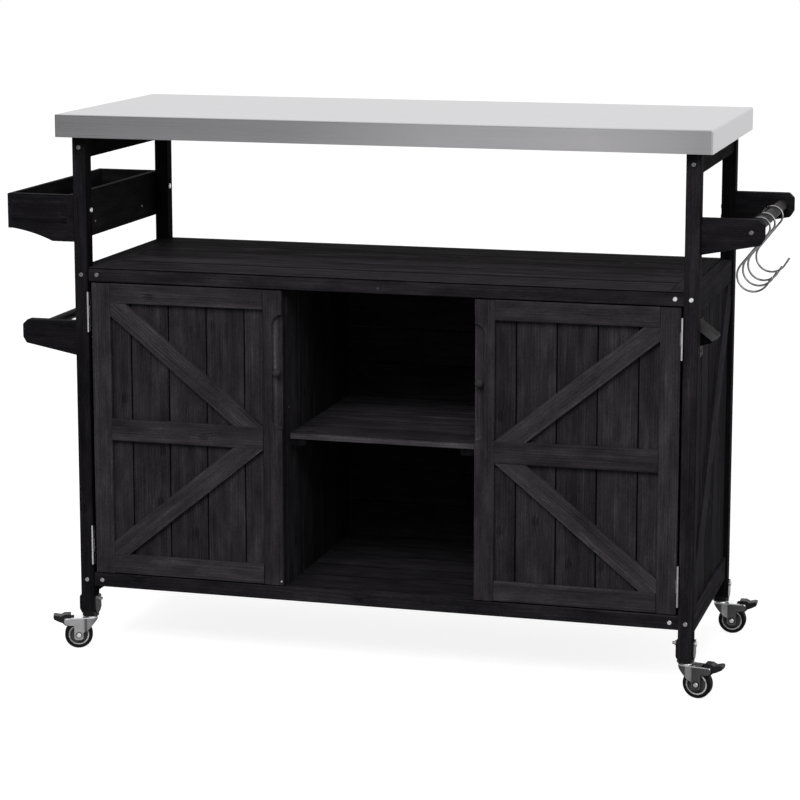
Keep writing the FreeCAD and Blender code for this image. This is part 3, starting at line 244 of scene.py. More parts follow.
def stained_pine(name, lay, board=lambda p: 0.0, tone=1.0, seed=0.0, shine=0.0, polish=0.004, marks=None):
    """Black stained softwood. lay turns a place or a normal into along, across and deep for the
    board it falls on, board numbers the boards so that each gets its own cut of the log, and
    marks lightens the colour where it is positive and darkens it where it is negative, both for
    dark joints and for painted light and shade."""
    growth_ring = 0.0042
    knot_apart = 0.12
    knot_beside = 0.075
    knot_share = 0.32
    material, shader, place, normal = new_finish(name)
    along, across, deep = lay(place, place)
    end_grain = abs(lay(place, normal)[0]) > 0.8
    number = board(place) + seed
    luck = along.node("ShaderNodeTexWhiteNoise", {"noise_dimensions": "1D"}, {"W": number}, "Color")
    split = along.tree.nodes.new("ShaderNodeSeparateColor")
    along.tree.links.new(luck.socket, split.inputs[0])
    cut, side, depth = [Wire(along.tree, socket) for socket in split.outputs]
    run = along + cut * 9.0
    over = across + side * 0.9
    into = deep + depth * 0.7
    sway = along.noise(along.at(run * 2.2, over * 9.0, into * 9.0), 1.0)
    # Knots lie far apart, and the rings of growth bend round them.
    knot_place = along.at(run / knot_apart, over / knot_beside, 0.0)
    knot_settings = {"voronoi_dimensions": "2D", "feature": "F1"}
    knot_far = along.node("ShaderNodeTexVoronoi", knot_settings,
                          {"Vector": knot_place, "Scale": 1.0}, "Distance")
    rare = along.node("ShaderNodeRGBToBW", {}, {0: knot_far.beside("Color")}) > 1.0 - knot_share
    halo = (1.0 - knot_far / 0.30).clamp() ** 1.5 * rare
    knot = ((0.10 - knot_far) / 0.05).clamp() * rare
    from_heart = (((side - 0.5) * 0.10 + across * 1.0) ** 2.0 + (deep + 0.02 + depth * 0.05) ** 2.0) ** 0.5
    rings = (from_heart + sway * 0.016 + halo * 0.005) / growth_ring
    late = ((rings * math.tau).sine() * 0.5 + 0.5) ** 3.0
    fibre = along.noise(along.at(run * 9.0, over * 620.0, into * 620.0), 3.0, 0.6)
    streak = along.noise(along.at(run * 2.6, over * 95.0, into * 95.0), 2.0, 0.55)
    blotch = along.noise(along.at(run * 14.0, over * 48.0, into * 48.0), 3.0, 0.6)
    speck = along.noise(along.at(run * 210.0, over * 420.0, into * 420.0), 2.0)
    cloud = along.noise(along.at(run * 2.6, over * 9.0, into * 9.0), 2.0)
    light = (0.5 + (fibre - 0.5) * 0.50 + (streak - 0.5) * 0.30 + (blotch - 0.5) * 0.62
             + (cloud - 0.5) * 0.36 + (speck - 0.5) * 0.28 + (late - 0.3) * (0.07 + halo * 0.14)
             + (cut - 0.5) * 0.16 - knot * 0.17 + halo * 0.03 - end_grain * 0.22)
    if marks:
        light = light + marks(place)
    light = light.clamp()
    # The stain is black with a cool violet cast, and thinner where the wood is harder.
    stain_and_painted_light = (1.05, 0.96, 1.08)
    thinning = [(0.0, 0.0014), (0.35, 0.0048), (0.55, 0.0084), (0.78, 0.0160), (1.0, 0.0330)]
    colours = [(at, tuple(level * tone * part for part in stain_and_painted_light)) for at, level in thinning]
    colour = along.node("ShaderNodeValToRGB", {"stops": colours}, {0: light})
    gloss = 0.52 - shine + (fibre - 0.5) * 0.22 - late * 0.07 + end_grain * 0.22 + knot * 0.08
    height = fibre * 0.5 + streak * 0.2 + late * 0.2 - knot * 0.5
    bump = along.node("ShaderNodeBump", {}, {"Strength": 0.55, "Distance": 0.0005, "Height": height})
    feed(shader, Base_Color=colour, Roughness=gloss.clamp(), Normal=bump)
    shader.inputs["Specular IOR Level"].default_value = polish
    return material


def upright(p, v):
    """A post, or an upright board whose broad face looks to the front or back."""
    return v[2], v[0], v[1]


for count, post in enumerate(("post_front_left", "post_front_right", "post_back_left", "post_back_right")):
    # The right face of each post is painted darker than its front: painted shade.
    right_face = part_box(post)[1].x - 0.0004
    dress(stained_pine(post + "_pine", upright, marks=lambda p, face=right_face: (p[0] > face) * -0.17,
                       seed=3.7 + 11.3 * count, tone=1.14 if post == "post_front_right" else 0.92,
                       polish=0.002), post)

# Worktop. A pan of stainless sheet, folded down on four sides into a deep apron and brushed along
# its length, laid over a wood core board that only shows from below.


def lengthwise(p, v):
    """A level sheet or board, brushed or grown along the cart."""
    return v[0], v[1], v[2]


def painted_pan_sheen(p, n):
    """Painted reflection: the front of the apron is painted brightest right of its middle, and the right end
    a little duller.
    """
    climb = ((p[0] + 0.15) / 0.26).clamp() * 0.24 - ((p[0] - 0.38) / 0.14).clamp() * 0.24
    fade = ((p[0] + 0.42) / 0.27).clamp() * -0.04 - ((p[0] - 0.52) / 0.04).clamp() * 0.10
    return 1.0 + (n[1] < -0.5) * (climb + fade) - (n[0] > 0.5) * 0.10


def brushed_steel(name, rub, bright=0.60, rough=0.30):
    """Stainless sheet. rub turns a place into along and across the brushing."""
    material, shader, place, normal = new_finish(name)
    along, across, deep = rub(place, place)
    hair = along.noise(along.at(along * 2.2, across * 900.0, deep * 900.0), 4.0, 0.65)
    band = along.noise(along.at(along * 0.9, across * 60.0, deep * 60.0), 2.0)
    haze = along.noise(along.at(along * 4.0, across * 5.0, deep * 5.0), 3.0)
    level = 0.5 + (hair - 0.5) * 0.40 + (band - 0.5) * 0.12 + (haze - 0.5) * 0.12
    # Painted reflection on the front and the right end of the apron.
    tone = (0.84 + level * 0.30) * bright * painted_pan_sheen(place, normal)
    colour = along.node("ShaderNodeCombineColor", {}, {0: tone, 1: tone * 0.982, 2: tone * 1.012})
    gloss = rough + (hair - 0.5) * 0.16 + (haze - 0.5) * 0.05
    bump = along.node("ShaderNodeBump", {}, {"Strength": 0.2, "Distance": 0.00004, "Height": hair})
    feed(shader, Base_Color=colour, Roughness=gloss.clamp(), Normal=bump)
    shader.inputs["Metallic"].default_value = 1.0
    return material


dress(brushed_steel("worktop_steel", lengthwise), "worktop_pan")

core_board, core_shader, core_place, core_normal = new_finish("worktop_core_board")
core_run, core_side, core_deep = core_place
core_grain = core_run.noise(core_run.at(core_run * 3.0, core_side * 120.0, core_deep * 120.0), 3.0)
core_stops = [(0.3, (0.29, 0.20, 0.115)), (0.7, (0.47, 0.35, 0.22))]
core_colour = core_run.node("ShaderNodeValToRGB", {"stops": core_stops}, {0: core_grain})
core_bump = core_run.node("ShaderNodeBump", {}, {"Strength": 0.3, "Distance": 0.0004, "Height": core_grain})
feed(core_shader, Base_Color=core_colour, Normal=core_bump)
core_shader.inputs["Roughness"].default_value = 0.7
dress(core_board, "worktop_core")

# Rails under the worktop and round the cabinet. Planed strips screwed between the posts, the
# grain always along the strip, with the two end rails in plain sight under the worktop.
rail_low, rail_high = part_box("worktop_rails")
rail_middle = (rail_low.x + rail_high.x) / 2
end_rail = rail_high.x - rail_middle - 0.022


def crosswise(p, v):
    """A level board that lies across the cart."""
    return v[1], v[0], v[2]


def level_front(p, v):
    """A level strip whose broad face looks to the front or back."""
    return v[0], v[2], v[1]


def level_side(p, v):
    """A level strip whose broad face looks to a side."""
    return v[1], v[2], v[0]


def either(mask, first, second):
    """The first triple where mask is 0 and the second where it is 1."""
    return tuple(blend(mask, one, two) for one, two in zip(first, second))


def round_the_top(p, v):
    """The long rails and the two end rails under the worktop."""
    return either(abs(p[0] - rail_middle) > end_rail, lengthwise(p, v), level_side(p, v))


def upper_and_right(p):
    """Numbers upper and lower strips, and those of the two sides, apart."""
    return (p[2] > 0.4) * 4.0 + (p[0] > 0.0) * 9.0


front_low, front_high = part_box("cabinet_front_rails")


def front_rail_marks(p):
    """A painted highlight lightens the top, where light from above falls, and a dark line is painted along
    the upper front edge.
    """
    top = p[2] > front_high.z - 0.0024
    edge = p[1] < front_low.y + 0.0007
    return top * (edge * -0.70 + 0.10)


dress(stained_pine("worktop_rail_pine", round_the_top, lambda p: (p[0] > 0.0) * 5.0 + (p[1] > 0.0) * 3.0,
                   seed=1.3, tone=0.8, polish=0.0006, marks=lambda p: (p[0] > 0.0) * 0.16), "worktop_rails")
dress(stained_pine("front_rail_pine", level_front, lambda p: (p[2] > 0.4) * 4.0, seed=8.1, tone=1.5,
                   polish=0.001, marks=front_rail_marks), "cabinet_front_rails")
dress(stained_pine("back_rail_pine", level_front, lambda p: (p[2] > 0.4) * 4.0, seed=16.4,
                   marks=lambda p: (p[2] > front_high.z - 0.0010) * -0.24), "cabinet_back_rails")
dress(stained_pine("side_rail_pine", level_side, upper_and_right, seed=2.9, tone=2.2, polish=0.0006),
      "side_rails")
dress(stained_pine("batten_pine", crosswise, lambda p: (p[2] > 0.3) * 4.0 + (p[0] > 0.0) * 9.0, seed=6.6),
      "cabinet_battens")
dress(stained_pine("corner_batten_pine", upright, lambda p: (p[0] > 0.0) * 5.0, seed=21.0), "back_battens")

# Cabinet sides. Five upright boards in grooves between two rails, with a flat brace laid corner to
# corner on the outside, level with the rails.


def upright_side(p, v):
    """An upright board whose broad face looks to a side."""
    return v[2], v[1], v[0]


def count_boards(axis, low, high, boards):
    """Numbers equal boards side by side along an axis."""
    return lambda p: ((p[axis] - low) * (boards / (high - low))).floor()


def seams(axis, low, high, boards):
    """Marks the joint lines of the same boards, where the stain has gathered."""
    wide = (high - low) / boards

    def marks(p):
        step = (p[axis] - low) * (boards / (high - low))
        off = abs(step - step.floor() - 0.5) * wide
        at_joint = ((off - (wide / 2 - 0.0016)) / 0.0008).clamp()
        between = (p[axis] > low + 0.003) * (p[axis] < high - 0.003)
        return at_joint * (between * -0.55 - 0.20)
    return marks


side_low, side_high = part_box("side_boards")
number_side = count_boards(1, side_low.y, side_high.y, boards=5)
dress(stained_pine("side_board_pine", upright_side, lambda p: number_side(p) + (p[0] > 0.0) * 13.0,
                   seed=4.2, tone=1.75, polish=0.0006,
                   marks=seams(1, side_low.y, side_high.y, boards=5)), "side_boards")
brace_low, brace_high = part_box("side_braces")
side_angle = math.atan2(brace_high.z - brace_low.z, brace_high.y - brace_low.y)


def slanted(flat, up, out, angle):
    """Along, across and deep for a board at an angle in the plane of flat and up."""
    along = flat * math.cos(angle) + up * math.sin(angle)
    across = up * math.cos(angle) - flat * math.sin(angle)
    return along, across, out


dress(stained_pine("side_brace_pine", lambda p, v: slanted(v[1], v[2], v[0], side_angle),
                   lambda p: (p[0] > 0.0) * 6.0, seed=12.5, tone=2.2, polish=0.0006), "side_braces")

# Deck, floor, back and the bay's dividers. Thin boards nailed side by side over hidden battens.
# The deck has a strip across each end, and the back boards lie level, one above the other.
deck_low, deck_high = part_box("deck_boards")
deck_middle = (deck_low.x + deck_high.x) / 2
end_strip = deck_high.x - deck_middle - 0.0253
number_deck = count_boards(1, deck_low.y, deck_high.y, boards=5)


def deck_lay(p, v):
    """Deck boards along the cart, with a strip across at each end."""
    return either(abs(p[0] - deck_middle) > end_strip, lengthwise(p, v), crosswise(p, v))


def deck_number(p):
    at_end = abs(p[0] - deck_middle) > end_strip
    return number_deck(p) * (1.0 - at_end) + at_end * (17.0 + (p[0] > 0.0) * 3.0)


deck_seams = seams(1, deck_low.y, deck_high.y, boards=5)
first_seam = deck_low.y + (deck_high.y - deck_low.y) / 5


def deck_marks(p):
    """Joint lines, the front one wider than the rest, and a front board that is painted paler."""
    at_end = abs(p[0] - deck_middle) > end_strip
    wide = (1.0 - abs(p[1] - first_seam) / 0.007).clamp() * -0.55
    paler_front_board = (p[1] < first_seam) * 0.10
    return (deck_seams(p) + wide + paler_front_board) * (1.0 - at_end) + at_end * 0.05


dress(stained_pine("deck_pine", deck_lay, deck_number, seed=5.4, tone=2.3, polish=0.0006, marks=deck_marks),
      "deck_boards")
floor_low, floor_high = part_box("floor_boards")
dress(stained_pine("floor_pine", lengthwise, count_boards(1, floor_low.y, floor_high.y, boards=5),
                   seed=7.7, tone=1.6, marks=seams(1, floor_low.y, floor_high.y, boards=5)), "floor_boards")
back_low, back_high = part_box("back_boards")
back_rows = 8
dress(stained_pine("back_pine", level_front, count_boards(2, back_low.z, back_high.z, back_rows),
                   seed=9.3, tone=1.3, marks=seams(2, back_low.z, back_high.z, back_rows)), "back_boards")
divider_low, divider_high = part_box("dividers")
number_divider = count_boards(1, divider_low.y, divider_high.y, boards=5)
dress(stained_pine("divider_pine", upright_side, lambda p: number_divider(p) + (p[0] > 0.0) * 13.0, seed=3.1,
                   tone=2.0, marks=seams(1, divider_low.y, divider_high.y, boards=5)), "dividers")
shelf_low, shelf_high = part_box("shelf_boards")
shelf_seams = seams(1, shelf_low.y, shelf_high.y, boards=5)


def shelf_marks(p):
    """Joint lines, and a front edge that is painted lighter."""
    return shelf_seams(p) * (p[1] > shelf_low.y + 0.004) + (p[1] < shelf_low.y + 0.0004) * 0.22


dress(stained_pine("shelf_pine", lengthwise, count_boards(1, shelf_low.y, shelf_high.y, boards=5),
                   seed=14.2, tone=2.8, polish=0.001, marks=shelf_marks), "shelf_boards")

# Doors. A flat frame of stiles and rails over five upright boards, with two braces that meet at
# the handle side. A small turned knob stands in a finger recess routed into the handle stile.
stile_wide = 0.035
brace_wide = 0.035
middle_rail = (0.385, 0.424)
knob_up = 0.523
recess_half = 0.102
recess_wide = 0.0175
recess_deep = 0.006
for hand, side_sign in (("left", -1.0), ("right", 1.0)):
    door_low, door_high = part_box("door_%s_frame" % hand)
    door_middle = (door_low.x + door_high.x) / 2
    stile = (door_high.x - door_low.x) / 2 - stile_wide - 0.0002

    def door_lay(p, v, middle=door_middle, edge=stile):
        return either(abs(p[0] - middle) > edge, level_front(p, v), upright(p, v))

    def door_number(p, middle=door_middle, edge=stile):
        """Numbers the three rails from the bottom up and then the two stiles."""
        on_stile = abs(p[0] - middle) > edge
        level = (p[2] > 0.25) * 1.0 + (p[2] > 0.55) * 1.0
        return level * (1.0 - on_stile) + on_stile * (7.0 + (p[0] > middle) * 3.0)

    free_edge = door_high.x if side_sign < 0 else door_low.x

    def recess_painted_light(p, edge=free_edge, sign=side_sign):
        """The cove of the recess has a painted highlight on the left door, with painted shade at its top
        end, and on the right door the cove is painted darker and the lip lighter: painted light and shade.
        """
        inside = (p[0] - edge) * sign
        cove = (1.0 - abs(inside - (recess_wide - 0.0040)) / 0.0060).clamp()
        lip = (1.0 - inside / 0.006).clamp()
        top_shade = ((p[2] - (knob_up + recess_half - 0.019)) / 0.012).clamp() * -0.30
        sunk = (p[1] > door_low.y + 0.0007) * (p[1] < door_low.y + recess_deep + 0.0005)
        hollow = sunk * (1.0 - abs(p[2] - knob_up) / recess_half).clamp() ** 0.3
        # Painted highlight and painted shade in the recess.
        stain_and_painted_light = cove * 0.40 + top_shade if sign < 0 else cove * -0.10 + lip * 0.16
        return hollow * stain_and_painted_light * (inside < recess_wide + 0.0003)

    dress(stained_pine("door_%s_frame_pine" % hand, door_lay, door_number, marks=recess_painted_light,
                       seed=31.0 + side_sign, tone=2.72 + side_sign * 0.16,
                       shine=0.03), "door_%s_frame" % hand)
    board_low, board_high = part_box("door_%s_boards" % hand)
    number_door = count_boards(0, board_low.x, board_high.x, boards=5)
    dress(stained_pine("door_%s_board_pine" % hand, upright, number_door,
                       seed=41.0 + side_sign * 3, tone=2.45 - side_sign * 0.10,
                       marks=seams(0, board_low.x, board_high.x, boards=5)), "door_%s_boards" % hand)
    run = door_high.x - door_low.x - 2 * stile_wide
    rises = (door_high.z - stile_wide - middle_rail[1], middle_rail[0] - door_low.z - stile_wide)
    steep = [math.atan2(rise, run) + math.asin(brace_wide / 2 / math.hypot(run, rise)) for rise in rises]
    upper = steep[0] * side_sign
    lower = steep[1] * side_sign * -1.0
    halfway = sum(middle_rail) / 2

    def brace_lay(p, v, high=upper, low=lower):
        return either(p[2] > halfway, slanted(v[0], v[2], v[1], low), slanted(v[0], v[2], v[1], high))

    dress(stained_pine("door_%s_brace_pine" % hand, brace_lay, lambda p: (p[2] > halfway) * 4.0,
                       seed=51.0 + side_sign * 2, tone=3.3, shine=0.02), "door_%s_braces" % hand)

# Spice rack. Three boards between two shaped ends, bolted through the left posts, with the end
# grain of the long boards showing at the front.
rack_low, rack_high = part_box("rack_boards")
inner_board = 0.013
outer_board = 0.009
dress(stained_pine("rack_board_pine", level_side,
                   lambda p: ((p[0] > rack_high.x - inner_board) * 3.0
                              + (p[0] < rack_low.x + outer_board) * 5.0),
                   seed=18.8, tone=1.45, polish=0.002), "rack_boards")
dress(stained_pine("rack_end_pine", level_front, lambda p: (p[1] > 0.0) * 4.0, seed=24.6, tone=0.80),
      "rack_ends")

# Towel bar and hook rail. Tapered brackets screwed to the posts, each pair holding a round rod
# that is stained a little browner than the rest.
dress(stained_pine("bracket_pine", level_front, lambda p: (p[1] > 0.0) * 4.0 + (p[0] > 0.0) * 7.0, seed=27.2,
                   tone=0.95), "rod_brackets")


def rod_stain(name, seed):
    """Turned softwood, stained, with the grain along the rod."""
    material, shader, place, normal = new_finish(name)
    run, side, up = place[1], place[0], place[2]
    fibre = run.noise(run.at(run * 12.0 + seed, side * 500.0, up * 500.0), 3.0, 0.6)
    cloud = run.noise(run.at(run * 5.0 + seed, side * 40.0, up * 40.0), 2.0)
    level = 0.5 + (fibre - 0.5) * 0.9 + (cloud - 0.5) * 0.6
    stops = [(0.1, (0.006, 0.005, 0.005)), (0.5, (0.014, 0.0115, 0.012)), (0.9, (0.028, 0.024, 0.025))]
    colour = run.node("ShaderNodeValToRGB", {"stops": stops}, {0: level.clamp()})
    bump = run.node("ShaderNodeBump", {}, {"Strength": 0.4, "Distance": 0.0003, "Height": fibre})
    feed(shader, Base_Color=colour, Roughness=(0.48 + (fibre - 0.5) * 0.2).clamp(), Normal=bump)
    shader.inputs["Specular IOR Level"].default_value = 0.03
    return material


dress(rod_stain("hook_rod_stain", 0.0), "hook_rod")
dress(rod_stain("towel_rod_stain", 4.0), "towel_rod")

# Steel fittings. Zinc plated screws, bolts, hinges and caster forks, bright and a little cloudy
# where the plating has dulled.


def zinc_plate(name, bright=0.64, rough=0.22, painted_glint=lambda n: 1.0):
    """Plated steel. The last argument turns a normal into how much of the brightness is left there: painted
    light and shade by the way a face looks.
    """
    material, shader, place, normal = new_finish(name)
    x, y, z = place
    cloud = x.noise(x.at(x * 90.0, y * 90.0, z * 90.0), 3.0, 0.6)
    grit = x.noise(x.at(x * 1500.0, y * 1500.0, z * 1500.0), 2.0)
    level = 0.5 + (cloud - 0.5) * 0.9 + (grit - 0.5) * 0.25
    low, high = bright * 0.72, min(bright * 1.12, 0.95)
    tone = (((level - 0.25) * 2.0).clamp() * (high - low) + low) * painted_glint(normal)
    colour = x.node("ShaderNodeCombineColor", {}, {0: tone, 1: tone, 2: tone})
    bump = x.node("ShaderNodeBump", {}, {"Strength": 0.2, "Distance": 0.00006, "Height": grit})
    feed(shader, Base_Color=colour, Roughness=(rough + (cloud - 0.5) * 0.25).clamp(), Normal=bump)
    shader.inputs["Metallic"].default_value = 1.0
    return material


dress(zinc_plate("zinc_plate"), "frame_bolts")
# The hinge leaves are painted dark except on faces that look to the front or back: painted shade.
dress(zinc_plate("hinge_zinc", 0.66, 0.24, lambda n: 0.10 + (abs(n[1]) > 0.86) * 0.90), "hinge_fixed_leaves",
      "door_left_hinge_leaves", "door_right_hinge_leaves")


def screw_steel(name):
    """Cross-head screws, painted darker on the left, high up on the right and on the opener, a little
    lighter low on the left and darker low on the right.
    """
    material, shader, place, normal = new_finish(name)
    x, y, z = place
    cloud = x.noise(x.at(x * 160.0, y * 160.0, z * 160.0), 3.0, 0.6)
    left, right = x < 0.0, x > 0.0
    high_up = z > 0.72
    on_opener = (z > 0.5) * (z < 0.65)
    low_down = z < 0.2
    bright = 0.92 - left * 0.62 - right * (high_up * 0.70 + on_opener * 0.85)
    bright = bright + low_down * ((x < -0.5) * 0.14 - (x > 0.535) * 0.42)
    shade = (bright * (0.80 + cloud * 0.4)).clamp()
    colour = x.node("ShaderNodeCombineColor", {}, {0: shade, 1: shade, 2: shade * 1.02})
    bump = x.node("ShaderNodeBump", {}, {"Strength": 0.2, "Distance": 0.00006, "Height": cloud})
    feed(shader, Base_Color=colour, Roughness=(0.28 + (cloud - 0.5) * 0.25).clamp(), Normal=bump)
    shader.inputs["Metallic"].default_value = 1.0
    return material


dress(screw_steel("screw_steel"), "wood_screws")


def pressed_fork(name, centre, way, cheek_light):
    """Zinc plated sheet with painted light and shade. The cheek table lists how light the sheet is painted
    at each reach from the kingpin, the fold at the top and the axle head get a painted highlight, and a
    dark ring is painted round the head."""
    fold_low = 0.0550
    axle_up = 0.025
    trail = 0.022
    axle_head = 0.0041
    axle_halo = 0.0064
    nearest = -0.013
    span = 0.062
    material, shader, place, normal = new_finish(name)
    x, y, z = place
    cloud = x.noise(x.at(x * 110.0, y * 110.0, z * 110.0), 3.0, 0.6)
    reach = (x - centre[0]) * way[0] + (y - centre[1]) * way[1]
    stops = [((at - nearest) / span, (v, v, v)) for at, v in cheek_light]
    sheet = x.node("ShaderNodeValToRGB", {"stops": stops}, {0: ((reach - nearest) / span).clamp()})
    from_axle = ((reach - trail) ** 2.0 + (z - axle_up) ** 2.0) ** 0.5
    level = x.node("ShaderNodeRGBToBW", {}, {0: sheet}) * (1.0 - (from_axle < axle_halo) * 0.6)
    # Painted highlight on the fold at the top and on the axle head.
    painted_shine = (z > fold_low).larger(from_axle < axle_head)
    level = level + (0.92 - level) * painted_shine
    shade = (level * (0.78 + cloud * 0.44)).clamp()
    colour = x.node("ShaderNodeCombineColor", {}, {0: shade, 1: shade, 2: shade * 1.02})
    bump = x.node("ShaderNodeBump", {}, {"Strength": 0.2, "Distance": 0.00006, "Height": cloud})
    feed(shader, Base_Color=colour, Roughness=(0.24 + (cloud - 0.5) * 0.22).clamp(), Normal=bump)
    shader.inputs["Metallic"].default_value = 1.0
    return material


# The cheek tables are painted light and shade: a dark band across a light cheek on the left-hand casters,
# and a bright band across a dark cheek on the right-hand ones.
left_cheek_light = [(-0.012, 0.24), (0.003, 0.34), (0.0065, 0.32), (0.0075, 0.15), (0.011, 0.15),
              (0.013, 0.48), (0.045, 0.50)]
right_cheek_light = [(-0.012, 0.12), (0.002, 0.16), (0.004, 0.55), (0.013, 0.48), (0.015, 0.13), (0.045, 0.17)]
joints = {joint["name"]: joint for joint in frame["joints"]}
for wheel in (1, 2, 3, 4):
    kingpin = joints["caster_%d_swivel" % wheel]["pos_m"]
    axle_place = joints["caster_%d_roll" % wheel]["pos_m"]
    way = (Vector(axle_place).xy - Vector(kingpin).xy).normalized()
    cheek_light = left_cheek_light if wheel in (1, 3) else right_cheek_light
    dress(pressed_fork("caster_%d_zinc" % wheel, kingpin, way, cheek_light), "caster_%d_fork" % wheel)

# Black metal. The caster brackets and the door knobs have a thin powder coat, slightly dimpled,
# and the bottle opener is dark cast metal, with painted light and shade and a painted highlight on its rim.


def powder_coat(name, level, rough, wear, gloss, shade_of=lambda p, n: 1.0, lacquer=None):
    """shade_of turns a place and a normal into a share of the level, for painted light and shade, and
    lacquer turns a normal into how thickly clear lacquer lies there."""
    material, shader, place, normal = new_finish(name)
    x, y, z = place
    dimple = x.noise(x.at(x * 900.0, y * 900.0, z * 900.0), 2.0)
    scuff = x.noise(x.at(x * 130.0, y * 130.0, z * 130.0), 3.0, 0.65)
    coat = level + (scuff > 0.66) * wear + (dimple - 0.5) * level * 0.6
    shade = (coat * shade_of(place, normal)).clamp()
    colour = x.node("ShaderNodeCombineColor", {}, {0: shade * 1.02, 1: shade * 0.98, 2: shade * 1.03})
    bump = x.node("ShaderNodeBump", {}, {"Strength": 0.35, "Distance": 0.00012, "Height": dimple})
    feed(shader, Base_Color=colour, Roughness=(rough + (scuff - 0.5) * 0.3).clamp(), Normal=bump)
    shader.inputs["Specular IOR Level"].default_value = gloss
    if lacquer:
        feed(shader, Coat_Weight=lacquer(normal))
        shader.inputs["Coat Roughness"].default_value = 0.25
    return material


dress(powder_coat("bracket_coat", 0.009, 0.42, 0.012, 0.06, lacquer=lambda n: abs(n[0]) > 0.7),
      "caster_brackets")
dress(powder_coat("knob_coat", 0.021, 0.42, 0.006, 0.09), "door_left_knob", "door_right_knob")
opener_low, opener_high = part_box("bottle_opener")
wall_plate = 0.0022


def opener_shade(p, n):
    """Painted light and shade: the cheeks are painted lighter, as facing the light, the hood and the wall
    plate darker, and the edge has a painted highlight.
    """
    on_plate = p[0] < opener_low.x + wall_plate + 0.0005
    slope = n[2] > 0.2
    painted_edge_highlight = slope * (p[1] < opener_low.y + 0.0030)
    return (0.45 + (n[1] < -0.5) * 1.35 - slope * 0.15 + painted_edge_highlight * 2.2) * (1.0 - on_plate * 0.92)


dress(powder_coat("opener_cast", 0.032, 0.44, 0.02, 0.01, opener_shade), "bottle_opener")

# Opener tooth. A wedge in the mouth of the opener, cast in one with the hood above it and never
# reached by the light, so it has a much darker copy of the opener's coat: painted shade.
bpy.ops.object.select_all(action="DESELECT")
bpy.ops.mesh.primitive_circle_add(vertices=3, radius=0.01, fill_type="NGON", location=(0, 0, 0))
tooth = bpy.context.object
tooth.name = "opener_tooth"
plate_face = opener_low.x + wall_plate
tooth_wide = 0.024
corners = [(plate_face, opener_high.z - 0.0175), (plate_face, opener_high.z - 0.0455),
           (opener_high.x - 0.0085, opener_high.z - 0.0390)]
for vertex, (x, z) in zip(tooth.data.vertices, corners):
    vertex.co = (x, opener_low.y + 0.010, z)
bpy.ops.object.mode_set(mode="EDIT")
bpy.ops.mesh.select_all(action="SELECT")
bpy.ops.mesh.extrude_region_move(TRANSFORM_OT_translate={"value": (0, tooth_wide, 0)})
bpy.ops.mesh.select_all(action="SELECT")
bpy.ops.mesh.normals_make_consistent(inside=False)
bpy.ops.mesh.bevel(offset=0.0009, segments=3, affect="EDGES")
bpy.ops.object.mode_set(mode="OBJECT")
tooth.data.materials.append(powder_coat("opener_mouth", 0.004, 0.5, 0.002, 0.01))
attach(tooth, "cart")

# S-hooks. Four lengths of polished chrome wire bent by hand, so the gloss is slightly uneven.


def chrome_wire(name):
    """Plated wire, a little smeared by hands."""
    material, shader, place, normal = new_finish(name)
    x, y, z = place
    smear = x.noise(x.at(x * 240.0, y * 240.0, z * 240.0), 2.0)
    stops = [(0.3, (0.19, 0.19, 0.20)), (0.7, (0.42, 0.42, 0.43))]
    colour = x.node("ShaderNodeValToRGB", {"stops": stops}, {0: smear})
    feed(shader, Base_Color=colour, Roughness=(0.06 + smear * 0.12).clamp())
    shader.inputs["Metallic"].default_value = 1.0
    return material


dress(chrome_wire("hook_chrome_wire"), "s_hook_1", "s_hook_2", "s_hook_3", "s_hook_4")

# Brads. Small round nail heads, left bright, that show on the front rail, on the left door and in
# the bay, and that hold every back board to the upright battens and to the dividers.


def brads(name, places, way, plating):
    """Nail heads at the places, looking along way, in one mesh."""
    head = 0.0017
    sunk = 0.0002
    proud = 0.0006
    rim = 0.0006
    turn = Vector(way).to_track_quat("Z", "Y").to_euler()
    bpy.ops.object.select_all(action="DESELECT")
    first = Vector(places[0]) - Vector(way) * sunk
    bpy.ops.mesh.primitive_circle_add(vertices=12, radius=head, fill_type="NGON", location=first,
                                      rotation=turn)
    heads = bpy.context.object
    heads.name = name
    heads.data.transform(heads.matrix_world)
    heads.matrix_world = Matrix.Identity(4)
    bpy.ops.object.mode_set(mode="EDIT")
    for place in places[1:]:
        next_one = Vector(place) - Vector(way) * sunk
        bpy.ops.mesh.primitive_circle_add(vertices=12, radius=head, fill_type="NGON", location=next_one,
                                          rotation=turn)
    bpy.ops.mesh.select_all(action="SELECT")
    bpy.ops.mesh.extrude_region_shrink_fatten(TRANSFORM_OT_shrink_fatten={"value": proud})
    bpy.ops.mesh.inset(thickness=rim, depth=proud / 2, use_individual=True)
    bpy.ops.object.mode_set(mode="OBJECT")
    heads.data.materials.append(plating)
    return heads


brad_zinc = zinc_plate("brad_zinc", 0.70, 0.30)
dull_zinc = zinc_plate("dull_zinc", 0.14, 0.45)
to_front = (0.0, -1.0, 0.0)
to_back = (0.0, 1.0, 0.0)
to_right = (1.0, 0.0, 0.0)
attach(brads("front_rail_brad", [(0.006, front_low.y, 0.6786)], to_front, dull_zinc), "cart")
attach(brads("bay_brad", [(-0.16367, -0.1830, 0.4580)], to_right, brad_zinc), "cart")
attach(brads("door_left_brad", [(-0.1705, front_low.y, 0.1500)], to_front, brad_zinc), "door_left")
nail_lines = (-0.5110, -0.1712, 0.1798, 0.5197)
row_high = (back_high.z - back_low.z) / back_rows
back_places = [(x, back_high.y, back_low.z + row_high * (row + 0.5))
               for row in range(back_rows) for x in nail_lines]
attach(brads("back_brads", back_places, to_back, brad_zinc), "cart")

# Casters. Each wheel is a grey plastic hub in a soft black tyre, with a pale trim ring pressed
# into both faces, and the brake pedal is black plastic.


